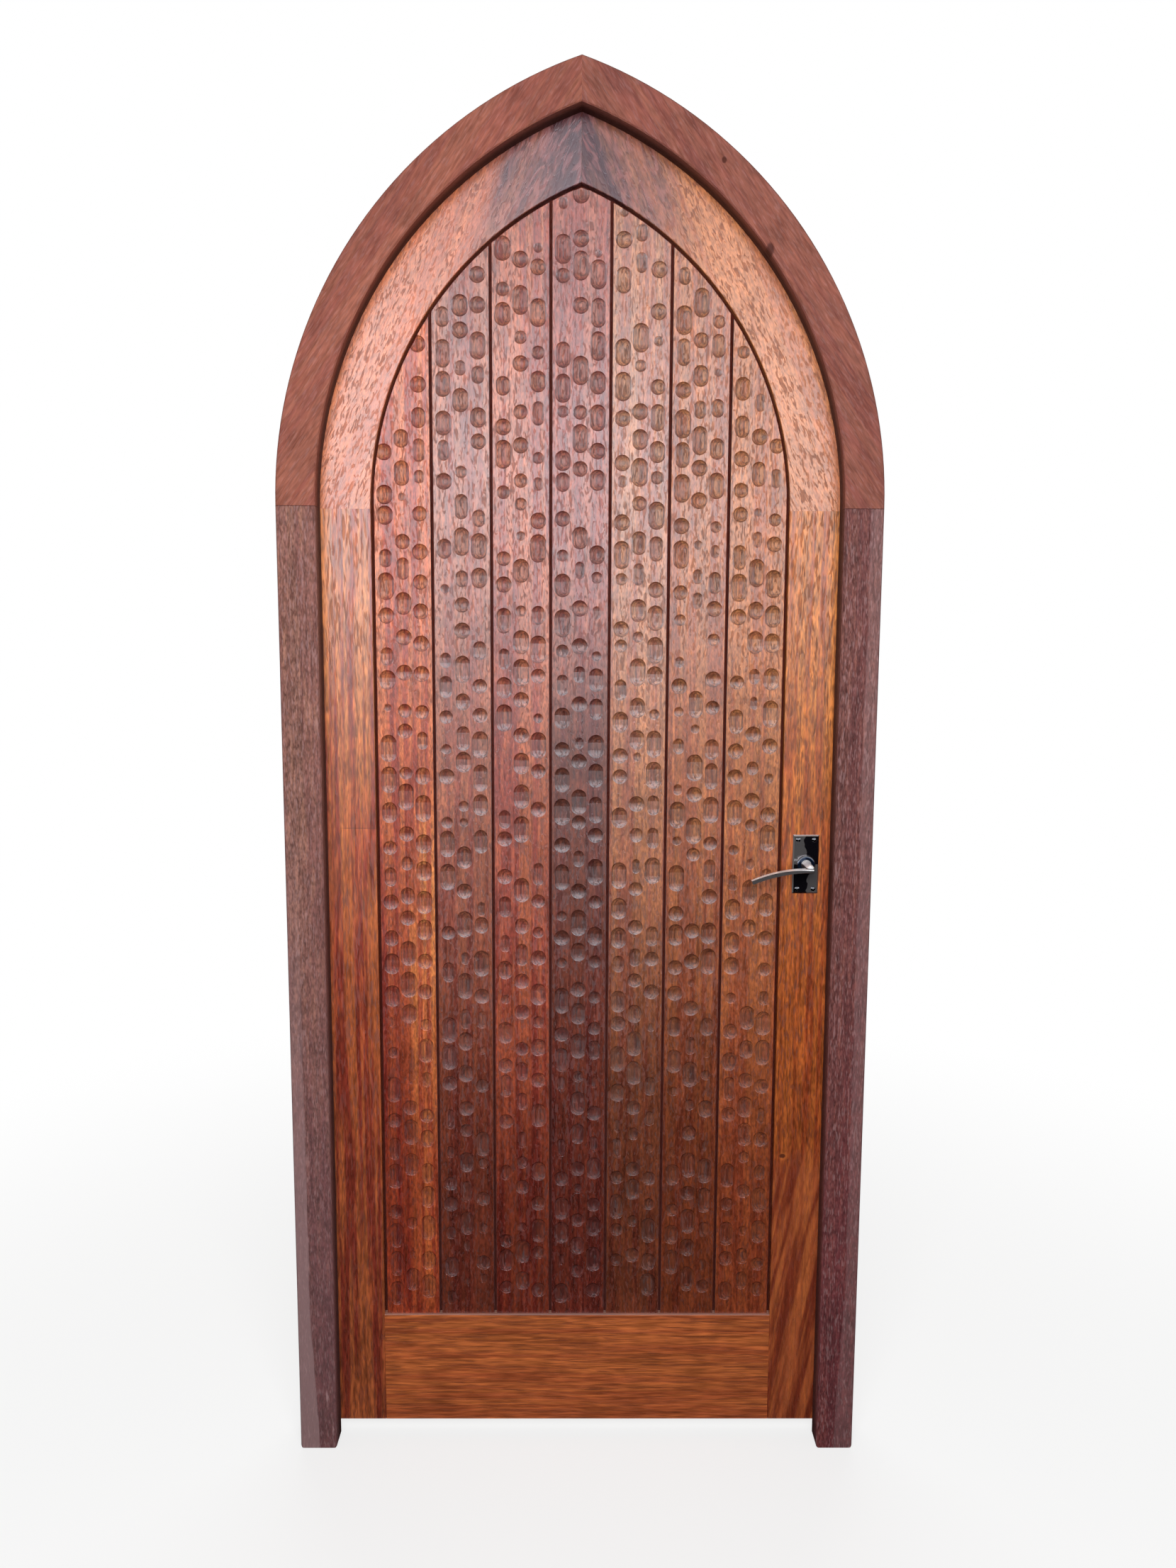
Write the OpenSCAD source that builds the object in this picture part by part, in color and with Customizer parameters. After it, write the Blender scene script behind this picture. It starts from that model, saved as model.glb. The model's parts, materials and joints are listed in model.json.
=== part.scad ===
// Pointed-arch plank door hung in its own rebated frame.
// The front faces -Y, the feet stand at z = 0, and y = 0 is the middle of the leaf's thickness.

/* [Opening] */
// Clear width between the jambs
opening_w = 884; // [760:1:1000]
// Height of the springing line, where the arch begins
springing_z = 1700; // [1500:1:1900]
// Rise of the frame's outer arch above the springing line
frame_rise = 707; // [640:1:820]

/* [Frame] */
// Width of the jambs' front face
jamb_face_w = 66; // [56:1:90]
// Depth of the stop in front of the leaf
stop_d = 40; // [25:1:50]
// Width of the rebate that the leaf closes into
rebate_w = 18; // [12:1:24]
// Chamfer along the frame's front edges
frame_arris = 2; // [0.5:0.5:5]
// Radius at the corners of the jambs' feet
foot_round = 5.5; // [2:0.5:10]

/* [Leaf] */
// Thickness of the leaf
leaf_t = 44; // [40:1:54]
// Gap between the leaf's edge and the rebate
edge_gap = 3; // [2.5:0.5:5]
// Gap between the leaf's face and the stop
stop_gap = 1.5; // [1:0.5:4]
// Gap under the leaf, above the feet
floor_gap = 29; // [5:1:60]
// Width of the stiles
stile_w = 100; // [96:1:130]
// Height of the bottom rail
bottom_rail_h = 208; // [160:1:300]
// Rise of the panel's arch above the springing line
panel_rise = 528; // [460:1:580]
// Chamfer along the leaf's edges round the panel
leaf_arris = 1; // [0.5:0.5:3]
// Range of the leaf's swing
leaf_swing = 110; // [90:1:170]

/* [Planks] */
// Number of planks
plank_count = 7; // [5:1:9]
// Shadow gap beside each plank
plank_gap = 4.5; // [2:0.5:8]
// Thickness of the planks
plank_t = 30; // [26:1:34]
// Step from the leaf's face back to the planks
plank_recess = 6; // [4:0.5:8]
// Chamfer along the planks' front edges
plank_arris = 0.8; // [0.4:0.2:2]
// Thickness of the tongues
tongue_t = 10; // [6:1:12]
// Length of the tongues inside their grooves
tongue_l = 8; // [5:0.5:10]
// Play on each side of a tongue
tongue_play = 0.25; // [0.1:0.05:0.5]
// Room beyond the end of a tongue
tongue_room = 1; // [0.5:0.5:2]

/* [Dimples] */
// Radius of the round-nosed cutter that scoops the dimples
cutter_r = 28; // [18:1:40]
// Average spacing of the dimples up a column
dimple_pitch = 56; // [50:1:90]
// Narrowest dimple
dimple_w_min = 14; // [8:0.5:16]
// Widest dimple
dimple_w_max = 28.5; // [18:0.5:32]
// Flat land that is always left between two columns
dimple_land = 0.6; // [0.3:0.1:4]
// Plain stretch above the bottom rail
dimple_margin = 6; // [2:1:30]

/* [Joints] */
// Thickness of the loose tenons and of the rail's tenons
tenon_t = 14; // [10:1:16]
// Length of a loose tenon, half of it on each side of the joint
tenon_l = 90; // [60:1:110]
// Width of a loose tenon
tenon_w = 44; // [30:1:50]
// Length of the bottom rail's tenons
rail_tenon_l = 65; // [40:1:80]
// Shoulder above and below the bottom rail's tenons
rail_shoulder = 36; // [20:1:50]
// Room for glue at the ends of a mortise
glue_room = 1; // [0.5:0.5:2]

/* [Hinges] */
// Number of hinges
hinge_count = 3; // [2:1:4]
// Height of a hinge
hinge_h = 100; // [80:1:120]
// Width of a hinge flap on the wood
flap_w = 32; // [25:1:36]
// Thickness of a hinge flap
flap_t = 2.5; // [2:0.1:3]
// Radius of the knuckles
knuckle_r = 6; // [5.5:0.1:7]
// Radius of the hinge pins
hinge_pin_r = 3; // [2.5:0.1:3.5]
// Height of the lowest hinge above the leaf's bottom edge
hinge_low = 250; // [200:1:320]
// Distance of the highest hinge below the springing line
hinge_high = 190; // [150:1:260]

/* [Handle] */
// Height of the spindle above the leaf's bottom edge
handle_h = 1060; // [900:1:1150]
// Distance of the spindle from the leaf's edge
backset = 57; // [55:1:62]
// Width of the latch plates
plate_w = 46; // [44:1:52]
// Height of the latch plates
plate_h = 105; // [98:1:140]
// Thickness of the latch plates
plate_t = 4; // [3:0.5:6]
// Bevel round the latch plates
plate_bevel = 2.2; // [1:0.1:3]
// Screw spacing across a latch plate
plate_screw_dx = 28.5; // [26:0.5:32]
// Screw spacing up a latch plate
plate_screw_dz = 88; // [80:0.5:120]
// Radius of the boss on a latch plate
boss_r = 16.5; // [14:0.5:18]
// Height of the boss
boss_h = 6; // [4:0.5:9]
// Reach of the levers from the leaf's face
lever_reach = 55; // [48:1:65]
// Length of a lever from the spindle to its tip
lever_l = 100; // [85:1:120]
// Drop of a lever's tip below its crown
lever_drop = 21; // [10:1:26]
// Drop of a lever's crown below the spindle
blade_sink = 3; // [0:0.5:4]
// Thickness of a lever's blade
blade_t = 6.5; // [5:0.5:9]
// Depth of a lever's blade at the spindle
blade_d = 17; // [13:0.5:20]
// Depth of a lever's blade at its tip
blade_tip_d = 10; // [8:0.5:13]
// Turn of the levers
lever_turn = 45; // [35:1:45]

/* [Latch] */
// Side of the square spindle
spindle_w = 7.6; // [7:0.1:8]
// Width of the latch case
case_w = 16; // [15:0.5:18]
// Height of the latch case
case_h = 34; // [33.5:0.5:38]
// Wall of the latch case
case_wall = 1.5; // [1:0.1:2]
// Reach of the latch bolt beyond the leaf's edge
bolt_reach = 11; // [9:0.5:12]
// Height of the latch bolt
bolt_h = 18; // [14:1:22]
// Width of the latch bolt
bolt_w = 12; // [9:0.5:12.5]
// Height of the plates over the latch and the strike
forend_h = 58; // [54:1:70]
// Width of the plate over the latch
forend_w = 25; // [22:1:28]
// Thickness of the plates over the latch and the strike
forend_t = 3; // [2:0.5:4]

/* [Hidden] */
$fn = 64;
arch_facets = 256;
overrun = 1;

// Half widths across the door, and planes through its depth
inner_x = opening_w / 2;
outer_x = inner_x + jamb_face_w;
rebate_x = inner_x + rebate_w;
leaf_x = rebate_x - edge_gap;
panel_x = leaf_x - stile_w;
leaf_front_y = -leaf_t / 2;
leaf_back_y = leaf_t / 2;
stop_y = leaf_front_y - stop_gap;
frame_front_y = stop_y - stop_d;
frame_back_y = leaf_back_y;
frame_mid_y = (frame_front_y + frame_back_y) / 2;
leaf_bottom_z = floor_gap;
rail_top_z = leaf_bottom_z + bottom_rail_h;

// Arcs that spring upright from the springing line and meet over the middle of the door
function arch_r(half_w, rise) = (half_w * half_w + rise * rise) / (2 * half_w);
function arch_z(r, centre_x, x) = springing_z + sqrt(r * r - (x + centre_x) * (x + centre_x));
frame_r = arch_r(outer_x, frame_rise);
frame_centre_x = frame_r - outer_x;
leaf_r = frame_centre_x + leaf_x;
rebate_r = frame_centre_x + rebate_x;
panel_r = arch_r(panel_x, panel_rise);
panel_centre_x = panel_r - panel_x;
frame_apex_z = springing_z + frame_rise;
leaf_apex_z = arch_z(leaf_r, frame_centre_x, 0);
rebate_apex_z = arch_z(rebate_r, frame_centre_x, 0);
panel_apex_z = springing_z + panel_rise;

// Key across the frame's mitre
frame_key_wall = 6;
frame_key_z = rebate_apex_z + frame_key_wall + tenon_t / 2;
leaf_key_z = (panel_apex_z + leaf_apex_z) / 2;

// Planks, counted from the hinge side
plank_front_y = leaf_front_y + plank_recess;
plank_back_y = plank_front_y + plank_t;
panel_mid_y = (plank_front_y + plank_back_y) / 2;
plank_w = (2 * panel_x - (plank_count + 1) * plank_gap) / plank_count;
plank_step = plank_w + plank_gap;
groove_t = tongue_t + 2 * tongue_play;
groove_d = tongue_l + tongue_room;
function plank_left(i) = -panel_x + plank_gap + i * plank_step;

// Dimples stand in columns, and their sizes and places are scattered by a fixed rule
column_shares = [0.19, 0.495, 0.8];
column_phase_shares = [0.15, 0.62, 0.34];
column_drift_share = 0.004;
skip_share = 0.06;
wide_bias = 3;
round_share = 0.4;
stretch_low_share = 0.15;
stretch_top_share = 1.05;
slot_share = 0.86;
clip_share = 0.15;
cutter_overrun = 0.05;
scatter_turn = [127.1, 311.7, 74.7];
scatter_gain = 43758.5453;
column_step = (column_shares[1] - column_shares[0] - 2 * column_drift_share) * plank_w;
dimple_w_top = min(dimple_w_max, column_step - dimple_land);
dimple_low_z = rail_top_z + dimple_margin;
dimple_slots = ceil((panel_apex_z - dimple_low_z) / dimple_pitch);
function scatter(a, b, c) =
    let (s = sin([a, b, c] * scatter_turn) * scatter_gain) s - floor(s);
function dimple_w(row, i) =
    dimple_w_min + (dimple_w_top - dimple_w_min) * (1 - pow(scatter(row, i, 1), wide_bias));
function dimple_stroke(row, i) =
    let (u = (scatter(row, i, 2) - round_share) / (1 - round_share))
    let (stretch = u > 0 ? stretch_low_share + (stretch_top_share - stretch_low_share) * u : 0)
    min(dimple_w(row, i) * stretch, dimple_pitch * slot_share - dimple_w(row, i));
function dimple_length(row, i) = dimple_w(row, i) + dimple_stroke(row, i);
function dimple_x(plank, column) =
    let (drift = (2 * scatter(plank, column, 3) - 1) * column_drift_share)
    plank_left(plank) + plank_w * (column_shares[column] + drift);
function dimple_z(row, column, i) =
    let (slack = (dimple_pitch - dimple_land - dimple_length(row, i)) * (scatter(row, i, 4) - 1))
    let (slot_top = dimple_low_z + (i + column_phase_shares[column] + 1) * dimple_pitch)
    slot_top - dimple_length(row, i) / 2 + slack;
// How far inside the plank's arched end a dimple's upper end turns
function dimple_depth_in(x, top_z) =
    panel_r - plank_gap - norm([abs(x) + panel_centre_x, max(0, top_z - springing_z)]);
function dimple_kept(row, column, i, x) =
    let (half_w = dimple_w(row, i) / 2)
    let (top_z = dimple_z(row, column, i) + dimple_stroke(row, i) / 2)
    let (inside = dimple_depth_in(x, top_z))
    scatter(row, i, 5) > skip_share
        && inside > half_w * clip_share
        && abs(inside - half_w) > dimple_land;

// Hinges at the hidden back edge
hinge_fit = 0.05;
knuckle_count = 5;
knuckle_clear = 0.3;
knuckle_play = 0.15;
hinge_x = -(leaf_x + edge_gap / 2);
hinge_y = leaf_back_y + knuckle_r + knuckle_clear;
knuckle_h = hinge_h / knuckle_count;
hinge_tip_r = 4.5;
hinge_tip_h = 3;
flap_screw_shares = [[0.16, 0.35], [0.5, 0.68], [0.84, 0.35]];
hinge_low_z = leaf_bottom_z + hinge_low;
hinge_high_z = springing_z - hinge_high;
function hinge_z(i) = hinge_low_z + i * (hinge_high_z - hinge_low_z) / (hinge_count - 1);

// Countersunk screws
screw_fit = 0.05;
screw_head_r = 4.2;
screw_head_h = 2.2;
screw_shank_r = 2;
screw_tip_h = 4;
screw_dome_h = 1;
hinge_screw_l = 28;
plate_screw_l = 16;
forend_screw_l = 22;

// Handle
spindle_x = leaf_x - backset;
spindle_z = leaf_bottom_z + handle_h;
plate_edge_t = 1.6;
boss_round = 3.5;
hub_r = 9;
hub_fit = 0.06;
hub_play = 0.5;
neck_r = 7;
neck_flare_l = 9;
blade_round = 2.4;
blade_past = 5;
lever_r = (lever_l * lever_l + lever_drop * lever_drop) / (2 * lever_drop);
lever_tip_angle = asin(lever_l / lever_r);
lever_past_angle = asin(blade_past / lever_r);
spindle_fit = 0.1;
spindle_end = 14;
spindle_bore_r = 10.5;
socket_d = boss_h + plate_t + spindle_end;

// Latch
arm_r = 12;
arm_tip_r = 2.5;
arm_t = 3;
follower_r = 7;
follower_fit = 0.06;
part_clear = 0.3;
tail_t = 3;
tail_bar = 4;
bolt_travel_per_rad = 12.6;
bolt_travel = bolt_travel_per_rad * lever_turn * PI / 180;
case_fit = 0.2;
case_inner_w = case_w - 2 * case_wall;
case_inner_h = case_h - 2 * case_wall;
tail_h = case_inner_h - 2 * part_clear;
window_left = -(follower_r + part_clear);
window_right = follower_r + part_clear + bolt_travel;
tail_left = window_left - tail_bar;
tail_right = window_right + tail_bar;
case_back_x = spindle_x + tail_left - bolt_travel - part_clear - case_wall;
case_front_x = leaf_x - forend_t;
partition_x = spindle_x + tail_right + part_clear;
stem_r = 2.6;
spring_wire_r = 0.6;
spring_r = 4.4;
spring_turns = 5;
spring_sides = 6;
spring_steps = 12;
bolt_body_l = 14;
bolt_neck_x = leaf_x - bolt_body_l;
bolt_nose_flat = 2.5;
bolt_fit = 0.25;
stem_fit = 0.08;
spring_clear = 0.15;

// Strike plate
strike_front_l = 14;
strike_room = 1;
strike_back_gap = 3;

// Timber and metal tones
frame_tone = [0.36, 0.20, 0.16];
head_tone = [0.42, 0.21, 0.14];
leaf_tone = [0.60, 0.33, 0.18];
plank_tone = [0.47, 0.25, 0.15];
hidden_tone = [0.62, 0.45, 0.28];
nickel_tone = [0.13, 0.13, 0.14];
steel_tone = [0.62, 0.62, 0.60];

// Shared shapes

// A flat outline in x and z, given thickness between two planes of y
module slab(y_from, y_to) {
    translate([0, y_to, 0])
        rotate([90, 0, 0])
            linear_extrude(y_to - y_from)
                children();
}

// A box between two opposite corners
module block(low, high) {
    translate(low)
        cube(high - low);
}

// Everything on the side of positive x
module right_half() {
    block([0, frame_front_y - overrun, 0], [outer_x + overrun, frame_back_y + overrun, frame_apex_z + overrun]);
}

// A countersunk screw with its head at z = 0, pointing along +z
module screw(length, fit = 0) {
    cylinder(h = screw_head_h, r1 = screw_head_r + fit, r2 = screw_shank_r + fit);
    cylinder(h = length - screw_tip_h, r = screw_shank_r + fit);
    translate([0, 0, length - screw_tip_h])
        cylinder(h = screw_tip_h, r1 = screw_shank_r + fit, r2 = 0);
}

// Low dome over a screw's head, standing out along -z
module screw_dome() {
    dome_r = (screw_head_r * screw_head_r + screw_dome_h * screw_dome_h) / (2 * screw_dome_h);
    mirror([0, 0, 1])
        rotate_extrude()
            intersection() {
                translate([0, screw_dome_h - dome_r])
                    circle(r = dome_r);
                square([dome_r, dome_r]);
            }
}

// Inside of the panel's arch, grown by the given margin, down to the given height
module panel_outline(margin, low_z) {
    translate([-panel_x - margin, low_z])
        square([2 * (panel_x + margin), springing_z - low_z]);
    intersection() {
        panel_disc(-1, margin);
        panel_disc(1, margin);
        translate([-panel_x - margin, springing_z])
            square([2 * (panel_x + margin), panel_rise + margin + panel_x]);
    }
}

module panel_disc(side, margin) {
    translate([side * panel_centre_x, springing_z])
        circle(r = panel_r + margin, $fn = arch_facets);
}

// Frame

// Section of the frame, with x across the door and y through it
module frame_section() {
    polygon([
        [inner_x, frame_front_y + frame_arris],
        [inner_x + frame_arris, frame_front_y],
        [outer_x - frame_arris, frame_front_y],
        [outer_x, frame_front_y + frame_arris],
        [outer_x, frame_back_y],
        [rebate_x, frame_back_y],
        [rebate_x, stop_y],
        [inner_x, stop_y]
    ]);
}

module jamb_blank() {
    intersection() {
        linear_extrude(springing_z)
            frame_section();
        slab(frame_front_y - overrun, frame_back_y + overrun)
            jamb_outline();
    }
}

// Outline of the right jamb from the front, with its foot rounded at the corners
module jamb_outline() {
    translate([inner_x, foot_round])
        square([jamb_face_w, springing_z - foot_round]);
    translate([inner_x + foot_round, 0])
        square([jamb_face_w - 2 * foot_round, 2 * foot_round]);
    for (x = [inner_x + foot_round, outer_x - foot_round])
        translate([x, foot_round])
            circle(r = foot_round);
}

module head_blank() {
    intersection() {
        translate([-frame_centre_x, 0, springing_z])
            rotate([90, 0, 0])
                rotate_extrude(angle = 90, $fn = arch_facets)
                    mirror([0, 1])
                        translate([frame_centre_x, 0])
                            frame_section();
        right_half();
    }
}

// Loose tenon across the springing joint of the frame, on the right
module frame_tenon_blank(room = 0) {
    translate([(rebate_x + outer_x) / 2, frame_mid_y, springing_z])
        cube([tenon_t, tenon_w, tenon_l + 2 * room], center = true);
}

// Key across the frame's mitre
module frame_key_blank(room = 0) {
    translate([0, frame_mid_y, frame_key_z])
        cube([tenon_l + 2 * room, tenon_w, tenon_t], center = true);
}

module left_jamb() {
    color(frame_tone)
        difference() {
            mirror([1, 0])
                difference() {
                    jamb_blank();
                    frame_tenon_blank(glue_room);
                }
            for (i = [0 : hinge_count - 1])
                at_hinge(i)
                    mirror([1, 0]) {
                        flap_recess();
                        flap_screws(screw_fit);
                    }
        }
}

module right_jamb() {
    color(frame_tone)
        difference() {
            jamb_blank();
            frame_tenon_blank(glue_room);
            strike_recess();
        }
}

module arched_head() {
    difference() {
        head_blank();
        frame_tenon_blank(glue_room);
        frame_key_blank(glue_room);
    }
}

module left_head() {
    color(head_tone)
        mirror([1, 0])
            arched_head();
}

module right_head() {
    color(head_tone)
        arched_head();
}

module right_frame_tenon() {
    color(hidden_tone)
        frame_tenon_blank();
}

module left_frame_tenon() {
    color(hidden_tone)
        mirror([1, 0])
            frame_tenon_blank();
}

module frame_key() {
    color(hidden_tone)
        frame_key_blank();
}

// Leaf

// Section of the lock stile, with the groove for the planks in its inner edge
module stile_section() {
    difference() {
        polygon([
            [panel_x, leaf_front_y + leaf_arris],
            [panel_x + leaf_arris, leaf_front_y],
            [leaf_x - leaf_arris, leaf_front_y],
            [leaf_x, leaf_front_y + leaf_arris],
            [leaf_x, leaf_back_y - leaf_arris],
            [leaf_x - leaf_arris, leaf_back_y],
            [panel_x + leaf_arris, leaf_back_y],
            [panel_x, leaf_back_y - leaf_arris]
        ]);
        translate([panel_x - overrun, panel_mid_y - groove_t / 2])
            square([groove_d + overrun, groove_t]);
    }
}

// Lower stretch of a stile, without the groove, where the bottom rail butts against it
module stile_foot() {
    block(
        [panel_x, panel_mid_y - groove_t / 2, leaf_bottom_z],
        [panel_x + groove_d, panel_mid_y + groove_t / 2, rail_top_z - groove_d]
    );
}

module stile_blank() {
    difference() {
        union() {
            translate([0, 0, leaf_bottom_z])
                linear_extrude(springing_z - leaf_bottom_z)
                    stile_section();
            stile_foot();
        }
        rail_tenon(glue_room);
        leaf_tenon_blank(glue_room);
    }
}

// Tenon of the bottom rail, on the right
module rail_tenon(room = 0) {
    block(
        [panel_x - overrun, panel_mid_y - tenon_t / 2, leaf_bottom_z + rail_shoulder],
        [panel_x + rail_tenon_l + room, panel_mid_y + tenon_t / 2, rail_top_z - rail_shoulder]
    );
}

// Loose tenon across the springing joint of the leaf, on the right
module leaf_tenon_blank(room = 0) {
    translate([(panel_x + leaf_x) / 2, panel_mid_y, springing_z])
        cube([tenon_w, tenon_t, tenon_l + 2 * room], center = true);
}

// Key across the leaf's mitre
module leaf_key_blank(room = 0) {
    translate([0, panel_mid_y, leaf_key_z])
        cube([tenon_l + 2 * room, tenon_t, tenon_w], center = true);
}

module hinge_stile() {
    color(leaf_tone)
        difference() {
            mirror([1, 0])
                stile_blank();
            for (i = [0 : hinge_count - 1])
                at_hinge(i) {
                    flap_recess();
                    flap_screws(screw_fit);
                }
        }
}

module lock_stile() {
    color(leaf_tone)
        difference() {
            stile_blank();
            latch_pocket();
            for (side = [0, 1])
                mirror([0, side])
                    plate_screw_set(screw_fit);
        }
}

// Right half of the leaf's arch between its outer edge and the panel
module arched_rail() {
    difference() {
        slab(leaf_front_y, leaf_back_y)
            intersection() {
                difference() {
                    translate([-frame_centre_x, springing_z])
                        circle(r = leaf_r, $fn = arch_facets);
                    panel_disc(-1, 0);
                }
                translate([0, springing_z])
                    square([leaf_x, leaf_apex_z - springing_z]);
            }
        slab(panel_mid_y - groove_t / 2, panel_mid_y + groove_t / 2)
            panel_disc(-1, groove_d);
        for (side = [0, 1])
            mirror([0, side]) {
                panel_edge_bevel();
                leaf_edge_bevel();
            }
        leaf_tenon_blank(glue_room);
        leaf_key_blank(glue_room);
    }
}

// Cone that bevels the arched rail's edge round the panel, at the front
module panel_edge_bevel() {
    translate([-panel_centre_x, leaf_front_y + leaf_arris, springing_z])
        rotate([90, 0, 0])
            cylinder(h = leaf_arris, r1 = panel_r, r2 = panel_r + leaf_arris, $fn = arch_facets);
}

// Ring that bevels the arched rail's outer edge, at the front
module leaf_edge_bevel() {
    translate([-frame_centre_x, leaf_front_y + leaf_arris, springing_z])
        rotate([90, 0, 0])
            difference() {
                cylinder(h = leaf_arris, r = leaf_r + overrun, $fn = arch_facets);
                cylinder(h = leaf_arris, r1 = leaf_r, r2 = leaf_r - leaf_arris, $fn = arch_facets);
            }
}

module left_arched_rail() {
    color(leaf_tone)
        mirror([1, 0])
            arched_rail();
}

module right_arched_rail() {
    color(leaf_tone)
        arched_rail();
}

// Section of the bottom rail, with y through the door and z up it
module rail_section() {
    difference() {
        polygon([
            [leaf_front_y, leaf_bottom_z],
            [leaf_back_y, leaf_bottom_z],
            [leaf_back_y, rail_top_z - leaf_arris],
            [leaf_back_y - leaf_arris, rail_top_z],
            [leaf_front_y + leaf_arris, rail_top_z],
            [leaf_front_y, rail_top_z - leaf_arris]
        ]);
        translate([panel_mid_y - groove_t / 2, rail_top_z - groove_d])
            square([groove_t, groove_d + overrun]);
    }
}

module bottom_rail() {
    color(leaf_tone)
        union() {
            translate([-panel_x, 0, 0])
                rotate([90, 0, 90])
                    linear_extrude(2 * panel_x)
                        rail_section();
            for (side = [0, 1])
                mirror([side, 0])
                    rail_tenon();
        }
}

module right_leaf_tenon() {
    color(hidden_tone)
        leaf_tenon_blank();
}

module left_leaf_tenon() {
    color(hidden_tone)
        mirror([1, 0])
            leaf_tenon_blank();
}

module leaf_key() {
    color(hidden_tone)
        leaf_key_blank();
}

// Planks

// Upright strip between two places across the door
module strip(x_from, x_to) {
    translate([x_from, 0])
        square([x_to - x_from, frame_apex_z]);
}

// Round-nosed cutter: a ball, or a ball drawn up the grain
module cutter(length) {
    if (length > overrun)
        rotate_extrude()
            intersection() {
                union() {
                    for (side = [-1, 1])
                        translate([0, side * length / 2])
                            circle(r = cutter_r);
                    translate([-cutter_r, -length / 2])
                        square([2 * cutter_r, length]);
                }
                translate([0, -length / 2 - cutter_r])
                    square([cutter_r, length + 2 * cutter_r]);
            }
    else
        sphere(r = cutter_r);
}

// The part of one cutter stroke that bites into the wood below y = 0
module scoop(width, stroke) {
    lift = sqrt(cutter_r * cutter_r - width * width / 4);
    half_l = (width + stroke) / 2 + overrun;
    intersection() {
        translate([0, -lift, 0])
            cutter(stroke);
        block([-width, -cutter_overrun, -half_l], [width, cutter_r, half_l]);
    }
}

module dimples(plank) {
    for (column = [0 : len(column_shares) - 1])
        for (i = [0 : dimple_slots - 1]) {
            row = plank * len(column_shares) + column;
            x = dimple_x(plank, column);
            if (dimple_kept(row, column, i, x))
                translate([x, plank_front_y, dimple_z(row, column, i)])
                    scoop(dimple_w(row, i), dimple_stroke(row, i));
        }
}

// Chamfer along a plank's front edge, at the given place
module plank_edge_bevel(x) {
    translate([x, plank_front_y, rail_top_z])
        linear_extrude(frame_apex_z - rail_top_z)
            rotate(45)
                square(plank_arris * sqrt(2), center = true);
}

module plank(i) {
    left = plank_left(i);
    right = left + plank_w;
    last = i == plank_count - 1;
    tongue_reach = plank_gap + tongue_l;
    color(plank_tone)
        difference() {
            union() {
                slab(plank_front_y, plank_back_y)
                    intersection() {
                        panel_outline(-plank_gap, rail_top_z);
                        strip(left, right);
                    }
                slab(panel_mid_y - tongue_t / 2, panel_mid_y + tongue_t / 2)
                    intersection() {
                        panel_outline(tongue_l, rail_top_z - tongue_l);
                        strip(left - tongue_reach, last ? right + tongue_reach : right);
                    }
            }
            if (!last)
                block(
                    [right - groove_d, panel_mid_y - groove_t / 2, 0],
                    [right + overrun, panel_mid_y + groove_t / 2, frame_apex_z]
                );
            plank_edge_bevel(left);
            plank_edge_bevel(right);
            dimples(i);
        }
}

// Hinges

// Places a hinge with its pin along z and the leaf's flap towards +x
module at_hinge(i) {
    translate([hinge_x, hinge_y, hinge_z(i)])
        children();
}

// Room for a flap in the edge of the wood, flush with it
module flap_recess() {
    block(
        [edge_gap / 2 - overrun, -(knuckle_r + knuckle_clear) - flap_w, -hinge_h / 2],
        [edge_gap / 2 + flap_t, -(knuckle_r + knuckle_clear) + overrun, hinge_h / 2]
    );
}

module flap_screws(fit = 0) {
    for (place = flap_screw_shares)
        translate([
            edge_gap / 2,
            -(knuckle_r + knuckle_clear) - flap_w * place[1],
            hinge_h * place[0] - hinge_h / 2
        ])
            rotate([0, 90, 0])
                screw(hinge_screw_l, fit);
}

// A flap with its own knuckles: the even ones, or the odd ones
module flap(first) {
    difference() {
        union() {
            block(
                [edge_gap / 2, -(knuckle_r + knuckle_clear) - flap_w, -hinge_h / 2],
                [edge_gap / 2 + flap_t, -(knuckle_r + knuckle_clear), hinge_h / 2]
            );
            for (i = [first : 2 : knuckle_count - 1])
                translate([0, 0, -hinge_h / 2 + i * knuckle_h + knuckle_play])
                    knuckle(knuckle_h - 2 * knuckle_play);
        }
        translate([0, 0, -hinge_h / 2 - overrun])
            cylinder(h = hinge_h + 2 * overrun, r = hinge_pin_r + hinge_fit);
        flap_screws(screw_fit);
    }
}

module knuckle(height) {
    cylinder(h = height, r = knuckle_r);
    block([edge_gap / 2, -(knuckle_r + knuckle_clear), 0], [edge_gap / 2 + flap_t, 0, height]);
}

module jamb_flap(i) {
    color(steel_tone)
        at_hinge(i)
            mirror([1, 0])
                flap(0);
}

module door_flap(i) {
    color(steel_tone)
        at_hinge(i)
            flap(1);
}

module hinge_pin(i) {
    color(steel_tone)
        at_hinge(i) {
            translate([0, 0, -hinge_h / 2])
                cylinder(h = hinge_h, r = hinge_pin_r);
            for (side = [0, 1])
                mirror([0, 0, side])
                    translate([0, 0, hinge_h / 2])
                        rotate_extrude()
                            intersection() {
                                circle(r = hinge_tip_r);
                                square([hinge_tip_r, hinge_tip_h]);
                            }
        }
}

module jamb_hinge_screws() {
    color(steel_tone)
        for (i = [0 : hinge_count - 1])
            at_hinge(i)
                mirror([1, 0])
                    flap_screws();
}

module door_hinge_screws() {
    color(steel_tone)
        for (i = [0 : hinge_count - 1])
            at_hinge(i)
                flap_screws();
}

// Handle

// Places a piece on the leaf's front face, over the spindle
module at_handle() {
    translate([spindle_x, leaf_front_y, spindle_z])
        children();
}

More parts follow.
